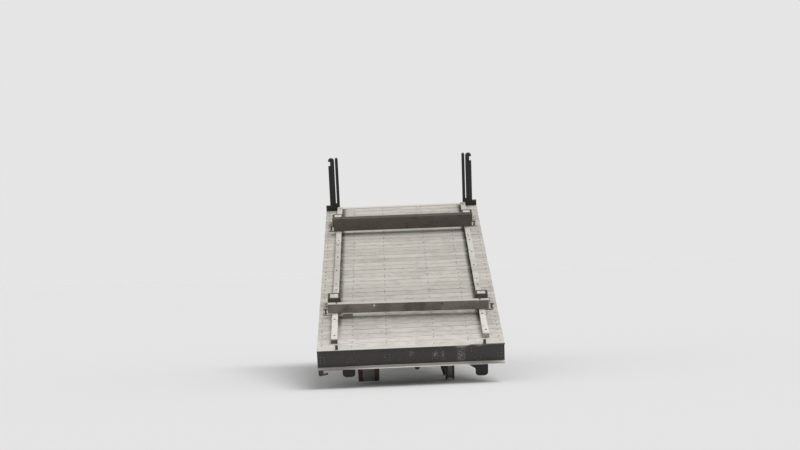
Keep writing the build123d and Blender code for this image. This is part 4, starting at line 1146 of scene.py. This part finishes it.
class PlatformCarRopeSocket(Operator):
    """Turns the rope socket and forges its clevis and pin"""

    bl_idname = "platform_car.rope_socket"
    bl_label = "Make the rope socket"

    # Tapered basket: radius, distance from its wide end; the last points run back into its bore
    BASKET = (
        (0.034, -0.004), (0.041, 0.0), (0.044, 0.006), (0.044, 0.105), (0.0425, 0.125), (0.038, 0.150),
        (0.034, 0.170), (0.0318, 0.185), (0.031, 0.205), (0.031, 0.236), (0.034, 0.239), (0.034, 0.247),
        (0.031, 0.25), (0.0175, 0.25), (0.015, 0.247), (0.015, 0.19),
    )
    PIN = (
        (0.020, 0), (0.024, 0.003), (0.024, 0.011), (0.022, 0.013), (0.016, 0.014), (0.016, 0.078),
        (0.013, 0.081),
    )
    WASHER = ((0.0161, 0.0015), (0.025, 0.0015), (0.026, 0.0005))
    SPLIT_PIN = (
        (0.002, 0), (0.0025, 0.001), (0.0025, 0.050), (0.0045, 0.053), (0.0045, 0.058), (0.002, 0.060),
    )
    # Left faces of the clevis's two cheeks, from the socket's middle
    CHEEKS = (-0.027, 0.011)
    CHEEK_THICKNESS = 0.016

    def execute(self, context):
        mesh = bmesh.new()
        basket = looking(track_point(SOCKET_X, SOCKET_Y - 0.06, SOCKET_HEIGHT), (0, -1, 0))
        turned(mesh, basket, self.BASKET, 48)
        eye = arc((0, 0), 0.035, -88, 88, 15)
        outline = [(-0.08, -0.035), (-0.05, -0.037), *eye, (-0.05, 0.037), (-0.08, 0.035)]
        sideways = Matrix(((0, 0, 1), (1, 0, 0), (0, 1, 0))).to_4x4()
        for cheek in self.CHEEKS:
            place = Matrix.Translation(track_point(SOCKET_X + cheek, SOCKET_Y, SOCKET_HEIGHT)) @ sideways
            prism(mesh, place, outline, self.CHEEK_THICKNESS)
        pin = looking(track_point(SOCKET_X - 0.041, SOCKET_Y, SOCKET_HEIGHT), ACROSS)
        turned(mesh, pin, self.PIN, 32)
        turned(mesh, pin, mirrored(self.WASHER, 0.07), 32, ring=True)
        foot = track_point(SOCKET_X + 0.0335, SOCKET_Y - 0.008, SOCKET_HEIGHT - 0.026)
        split = looking(foot, (0, 0.3, 1))
        turned(mesh, split, self.SPLIT_PIN, 10)
        make_piece("rope_socket_forging", mesh, "fitting_iron", "rope_socket", edge=0.002)
        return {"FINISHED"}


class PlatformCarBrakeScrew(Operator):
    """Cuts the rail brake's two-handed screw with its nuts and squares"""

    bl_idname = "platform_car.brake_screw"
    bl_label = "Cut the brake screw"

    COLLAR = ((0.030, 0.017), (0.026, 0.020))
    NUT = ((0.023, 0.1131), (0.027, 0.116), (0.027, 0.144), (0.023, 0.147))
    SQUARE = ((0.0168, 0.147), (0.0168, 0.175), (0.014, 0.179))

    def execute(self, context):
        mesh = bmesh.new()
        axis = looking(track_point(WHEEL_X, BRAKE_Y, BRAKE_SCREW_HEIGHT), ACROSS)
        turned(mesh, axis, thread(0.0178, -0.15, 0.15, 0.006, 0.0022), 32)
        turned(mesh, axis, mirrored(self.COLLAR, 0.0), 6)
        for hand in HANDS:
            turned(mesh, axis, [(radius, hand * reach) for radius, reach in self.NUT], 6)
            square = axis @ Matrix.Rotation(radians(45), 4, "Z")
            turned(mesh, square, [(radius, hand * reach) for radius, reach in self.SQUARE], 4)
        make_piece("brake_spindle", mesh, "brake_steel", "brake_screw", edge=0.0008)
        return {"FINISHED"}


class PlatformCarRivets(Operator):
    """Drives the rivets and bolts of the steelwork, the stanchions and the castings"""

    bl_idname = "platform_car.rivets"
    bl_label = "Drive the rivets and bolts"

    # Rivets in the headstocks' end cleats: columns across, first row, pitch
    CLEATS_ACROSS = (-TRUSS_X, TRUSS_X, -STRINGER_X, STRINGER_X, -1.40, 1.40)
    CLEAT_TOP = -0.055
    CLEAT_PITCH = 0.048
    FLANGE_REACH = 1.30
    FLANGE_RIVETS = 14
    # Bolt in each curb's lug: across, along, up; knee brackets: side, middle across; their bolts' height
    LUG_BOLT = (1.165, 0.073, 0.016)
    BRACKETS = ((-1, -0.955), (1, 1.05))
    BRACKET_BOLT_UP = -0.255
    # Rivets in the sills' bearer cleats
    STATIONS = 10
    SILL_RIVETS = (-0.175, -0.265)
    CENTRE_SILL_FACE = 0.38
    # Rivets in the braces, across, and the braces' faces, along; in the diagonals, as shares of their length
    BRACE_RIVETS = (0.345, 0.385)
    BRACE_FACE = -0.004
    DIAGONAL_RIVETS = (0.115, 0.155, 0.875, 0.915)
    DIAGONAL_FACE = POST_OUTER + 0.010
    # Rivets in a gusset beside its post, along, and in from its edge; in the post, along and from its end
    GUSSET_RIVETS = (-0.15, -0.10, 0.10, 0.15)
    GUSSET_EDGE = 0.028
    POST_RIVETS = (-0.038, 0.038)
    POST_RISES = (0.035, 0.135)
    # Rivets that tie the rakers' angles, by height
    RAKER_RIVETS = (0.65, 0.97, 1.29, 1.61, 1.93, 2.25)
    # Rivets under the chords: places along, spread along and across; in the rope anchor: along, height
    CHORD_STATIONS = (*POST_FEET, RAKER_Y - 0.1)
    CHORD_RIVETS = (-0.12, -0.06, 0.06, 0.12)
    CHORD_GAUGE = (-0.028, 0.028)
    ANCHOR_RIVETS = ((0.71, 0.765), (0.44, 0.48))
    # Bolts in the stanchions' feet: across, up; the one at each corner; rivets in the bars
    FOOT_BOLTS = ((1.372, 1.312, 1.237), (0.04, 0.105))
    CORNER_BOLT = (1.44, 0.05)
    BAR_X = 1.34
    BAR_RIVETS = (0.35, 0.72)
    # Bolts under the axle boxes and the brake plate: across, along; the heights that they hang from
    BOX_BOLTS = ((-0.030, 0.030), (-0.108, 0.108))
    BOX_BASE = 0.375
    BRAKE_BOLTS = ((0.355, 0.395), (-0.11, 0.11))
    BRAKE_PLATE = 0.388
    # Axle boxes' faces from their middle, and the ring round each
    BOX_FACE = 0.06
    COVER_FACE = 0.066
    BOX_COVER = (
        (0.060, -0.002), (0.084, -0.002), (0.084, 0.004), (0.082, 0.006), (0.062, 0.006), (0.060, 0.004),
    )

    def execute(self, context):
        size = context.scene.platform_car_paint.rivet_size
        jobs = (
            ("headstock_rivets", self.headstocks, "headstock_steel"),
            ("sill_rivets", self.sills, "frame_steel"),
            ("trestle_rivets", self.trestles, "frame_steel"),
            ("chord_rivets", self.chords, "frame_steel"),
            ("stanchion_bolts", self.stanchions, "black_iron"),
            ("bearing_bolts", self.bearings, "cast_iron"),
        )
        for name, drive, slot in jobs:
            mesh = bmesh.new()
            drive(mesh, size)
            make_piece(name, mesh, slot)
        return {"FINISHED"}

    def headstocks(self, mesh, size):
        """End cleats' rivets in pairs of columns, lug and bracket bolts."""
        for along, out in ((HEADSTOCK_FACE, -1), (DECK_LENGTH - HEADSTOCK_FACE, 1)):
            for across, side in product(self.CLEATS_ACROSS, HANDS):
                column = across + side * (0.035 if abs(across) < 1 else 0.028)
                rows = 3 if abs(across) == STRINGER_X else 5
                low = self.CLEAT_TOP - self.CLEAT_PITCH * (rows - 1)
                ends = [on_deck(column, along, up) for up in (self.CLEAT_TOP, low)]
                rivets(mesh, row(*ends, rows), DECK_ALONG * out, size)
            flange = along + out * 0.055
            ends = [on_deck(hand * self.FLANGE_REACH, flange, -HEADSTOCK_DEPTH) for hand in HANDS]
            rivets(mesh, row(*ends, self.FLANGE_RIVETS), -DECK_UP, size)
        lug_across, *lug = self.LUG_BOLT
        for hand, bracket in self.BRACKETS:
            bolt(mesh, on_deck(hand * lug_across, *lug), DECK_UP, 0.010, 0.3)
            for across in (-0.05, 0.05):
                place = on_deck(bracket + across, HEADSTOCK_FACE, self.BRACKET_BOLT_UP)
                bolt(mesh, place, -DECK_ALONG, 0.013, across * 9)

    def sills(self, mesh, size):
        """Cleat rivets on the outer faces of the side sills and on the centre sills' webs."""
        faces = (SILL_X, self.CENTRE_SILL_FACE)
        for station, hand, shift, face in product(range(self.STATIONS), HANDS, (0.03, 0.08), faces):
            along = BOARD_START + (station + 0.5) * BEARER_PITCH + shift
            ends = [on_deck(hand * face, along, up) for up in self.SILL_RIVETS]
            rivets(mesh, row(*ends, 3), ACROSS * hand, size)

    def trestles(self, mesh, size):
        """Gusset, brace, diagonal and raker rivets."""
        feet = [from_track(downhill, CHORD_TOP) for downhill in POST_FEET]
        for station, (along, up) in enumerate(feet):
            face = along + self.BRACE_FACE
            for hand in HANDS:
                self.gussets(mesh, size, hand, along, up)
                for base in (up + 0.09, SILL_LOW - 0.03):
                    ends = [on_deck(hand * reach, face, base) for reach in self.BRACE_RIVETS]
                    rivets(mesh, ends, -DECK_ALONG, size)
            if station:
                crossing = on_deck(0, face, (up + 0.12 + SILL_LOW - 0.06) / 2)
                bolt(mesh, crossing, -DECK_ALONG, 0.014, 0.2)
        for (start, low), (end, _) in zip(feet, feet[1:]):
            first = Vector((start + 0.02, low - 0.06))
            last = Vector((end - 0.02, SILL_LOW + 0.06))
            for share, hand in product(self.DIAGONAL_RIVETS, HANDS):
                place = on_deck(hand * self.DIAGONAL_FACE, *(first + (last - first) * share))
                rivet(mesh, place, ACROSS * hand, size)
        for height, hand in product(self.RAKER_RIVETS, HANDS):
            rivet(mesh, track_point(hand * POST_OUTER, RAKER_Y, height), ACROSS * hand, size)

    def gussets(self, mesh, size, hand, along, up):
        """Rivets round one post's two gussets: outside them, and up or down the post."""
        for shift in self.GUSSET_RIVETS:
            rises = (up - shift * tan(SLOPE) + self.GUSSET_EDGE, SILL_LOW - self.GUSSET_EDGE)
            for face, out in ((GUSSET_FACE, -1), (GUSSET_FACE + GUSSET_THICKNESS, 1)):
                ends = [on_deck(hand * face, along + shift, rise) for rise in rises]
                rivets(mesh, ends, ACROSS * hand * out, size)
        for shift, (base, way) in product(self.POST_RIVETS, ((up, 1), (SILL_LOW, -1))):
            rises = [base + way * rise for rise in self.POST_RISES]
            ends = [on_deck(hand * GUSSET_FACE, along + shift, rise) for rise in rises]
            rivets(mesh, row(*ends, 3), ACROSS * -hand, size)

    def chords(self, mesh, size):
        """Rivets along the chords' flanges at the posts and the tail, and in the anchor's webs."""
        spots = product(HANDS, self.CHORD_STATIONS, self.CHORD_RIVETS, self.CHORD_GAUGE)
        for hand, station, shift, across in spots:
            point = track_point(hand * (TRUSS_X + across), station + shift, CHORD_LOW)
            rivet(mesh, point, (0, 0, -1), size)
        for hand, downhill, height in product(HANDS, *self.ANCHOR_RIVETS):
            rivet(mesh, track_point(hand * (TRUSS_X + 0.004), downhill, height), ACROSS * hand, size)

    def stanchions(self, mesh, size):
        """Foot bolts, and rivets that tie each slim bar to its post's foot."""
        for hand, across, up in product(HANDS, *self.FOOT_BOLTS):
            bolt(mesh, on_deck(hand * across, STANCHION_FACE, up), -DECK_ALONG, 0.011, across * 7 + up)
        corner, height = self.CORNER_BOLT
        for hand in HANDS:
            bolt(mesh, on_deck(hand * corner, STANCHION_FACE, height), -DECK_ALONG, 0.013, 0.5)
            for up in self.BAR_RIVETS:
                rivet(mesh, on_deck(hand * self.BAR_X, STANCHION_FACE, up), -DECK_ALONG, size)

    def bearings(self, mesh, size):
        """Base bolts and end covers of the axle boxes, and the brake plate's bolts."""
        for (_, downhill), hand in product(AXLES, HANDS):
            middle = hand * TRUSS_X
            for across, shift in product(*self.BOX_BOLTS):
                point = track_point(middle + across, downhill + shift, self.BOX_BASE)
                bolt(mesh, point, (0, 0, -1), 0.013, shift * 20, 0.024)
            for out in HANDS:
                face = track_point(middle + out * self.BOX_FACE, downhill, WHEEL_HEIGHT)
                turned(mesh, looking(face, ACROSS * out), self.BOX_COVER, 40, ring=True)
                bolt_circle(mesh, middle + out * self.COVER_FACE, downhill, out, 0.073, 6, 0.0055)
        for across, shift in product(*self.BRAKE_BOLTS):
            point = track_point(across, BRAKE_Y + shift, self.BRAKE_PLATE)
            bolt(mesh, point, (0, 0, -1), 0.012, shift * 20, 0.02)


class PlatformCarStageBuilder(Operator):
    """Sets the pale floor, the soft light and the camera of the photograph"""

    bl_idname = "platform_car.stage"
    bl_label = "Set the stage"

    # The camera's place from the deck's front edge: across, along, up; its turn from the deck's directions
    CAMERA_PLACE = (-0.27, -24.70, 10.25)
    HEADING = radians(0.41)
    PITCH = radians(18.40)
    ROLL = radians(2.23)
    LIGHT_FROM = (0.42, -0.12, 1.0)
    FLOOR_HALF = 400

    def execute(self, context):
        stage = context.scene.platform_car_stage
        self.floor(context.scene, stage.floor_tone)
        self.sky(context.scene, stage.sky_light, stage.backdrop_tone)
        lamp = bpy.data.lights.new("high_soft_light", "SUN")
        lamp.energy = stage.key_light
        lamp.angle = stage.key_softness
        light = bpy.data.objects.new("high_soft_light", lamp)
        light.rotation_euler = Vector(self.LIGHT_FROM).to_track_quat("Z", "Y").to_euler()
        context.scene.collection.objects.link(light)
        self.camera(context.scene, stage.lens)
        context.scene.view_settings.view_transform = "Standard"
        return {"FINISHED"}

    def floor(self, scene, tone):
        """Wide plain floor under the wheels."""
        mesh = bmesh.new()
        bmesh.ops.create_grid(mesh, x_segments=1, y_segments=1, size=self.FLOOR_HALF)
        data = bpy.data.meshes.new("studio_floor")
        mesh.to_mesh(data)
        mesh.free()
        Recipe("studio_floor", (tone, tone, tone)).finish(0.95, specular=0.1)
        data.materials.append(finishes["studio_floor"])
        floor = bpy.data.objects.new("studio_floor", data)
        scene.collection.objects.link(floor)

    def sky(self, scene, strength, backdrop):
        """Even light from all round, seen directly or in gloss as a plain pale backdrop."""
        world = bpy.data.worlds.new("studio_light")
        world.use_nodes = True
        scene.world = world
        tree = world.node_tree
        even = tree.nodes["Background"]
        feed(even.inputs["Strength"], strength)
        feed(even.inputs["Color"], (1, 1, 1))
        seen = add_node(tree, "ShaderNodeBackground", {"Color": (backdrop, backdrop, backdrop)})
        rays = add_node(tree, "ShaderNodeLightPath").outputs
        direct = rays["Is Camera Ray"]
        for kind in ("Is Glossy Ray", "Is Transmission Ray"):
            either = {0: direct, 1: rays[kind]}
            direct = add_node(tree, "ShaderNodeMath", either, operation="MAXIMUM").outputs[0]
        both = add_node(tree, "ShaderNodeMixShader", {0: direct, 1: even.outputs[0], 2: seen.outputs[0]})
        feed(tree.nodes["World Output"].inputs["Surface"], both.outputs[0])

    def camera(self, scene, lens):
        """Camera where the photograph was taken from."""
        level = Vector((sin(self.HEADING), cos(self.HEADING), 0))
        forward = level * cos(self.PITCH) - Vector((0, 0, sin(self.PITCH)))
        right = Vector((cos(self.HEADING), -sin(self.HEADING), 0))
        up = right.cross(forward)
        image_right = right * cos(self.ROLL) - up * sin(self.ROLL)
        image_up = right * sin(self.ROLL) + up * cos(self.ROLL)
        turn = DECK_AXES @ Matrix((image_right, image_up, -forward)).transposed()
        camera = bpy.data.cameras.new("photograph_view")
        camera.lens = lens
        camera.sensor_width = 36
        camera.clip_end = 1000
        view = bpy.data.objects.new("photograph_view", camera)
        view.matrix_world = Matrix.Translation(on_deck(*self.CAMERA_PLACE)) @ turn.to_4x4()
        scene.collection.objects.link(view)
        scene.camera = view


GROUPS = {
    "platform_car_deck": PlatformCarDeck,
    "platform_car_paint": PlatformCarPaint,
    "platform_car_stage": PlatformCarStage,
}
BUILDERS = (
    PlatformCarFinishes, PlatformCarBoards, PlatformCarTimbers, PlatformCarClamps, PlatformCarKnees,
    PlatformCarWheels, PlatformCarRopeSocket, PlatformCarBrakeScrew, PlatformCarRivets,
    PlatformCarStageBuilder,
)


class PlatformCarPanel(Panel):
    """Lists the car's settings and builders"""

    bl_idname = "VIEW3D_PT_platform_car"
    bl_label = "Platform Car"
    bl_space_type = "VIEW_3D"
    bl_region_type = "UI"
    bl_category = "Platform Car"

    def draw(self, context):
        for name in GROUPS:
            group = getattr(context.scene, name)
            for key in group.bl_rna.properties.keys():
                if key not in ("rna_type", "name"):
                    self.layout.prop(group, key)
        for builder in BUILDERS:
            self.layout.operator(builder.bl_idname)


def register():
    """Make the settings, builders and panel known to Blender."""
    for item in (*GROUPS.values(), *BUILDERS, PlatformCarPanel):
        bpy.utils.register_class(item)
    for name, group in GROUPS.items():
        setattr(bpy.types.Scene, name, PointerProperty(type=group))


def unregister():
    """Take them out again."""
    for name in GROUPS:
        delattr(bpy.types.Scene, name)
    for item in (PlatformCarPanel, *BUILDERS[::-1], *GROUPS.values()):
        bpy.utils.unregister_class(item)


def main():
    """Build everything in order."""
    register()
    for builder in BUILDERS:
        family, action = builder.bl_idname.split(".")
        getattr(getattr(bpy.ops, family), action)()


if __name__ == "__main__":
    main()
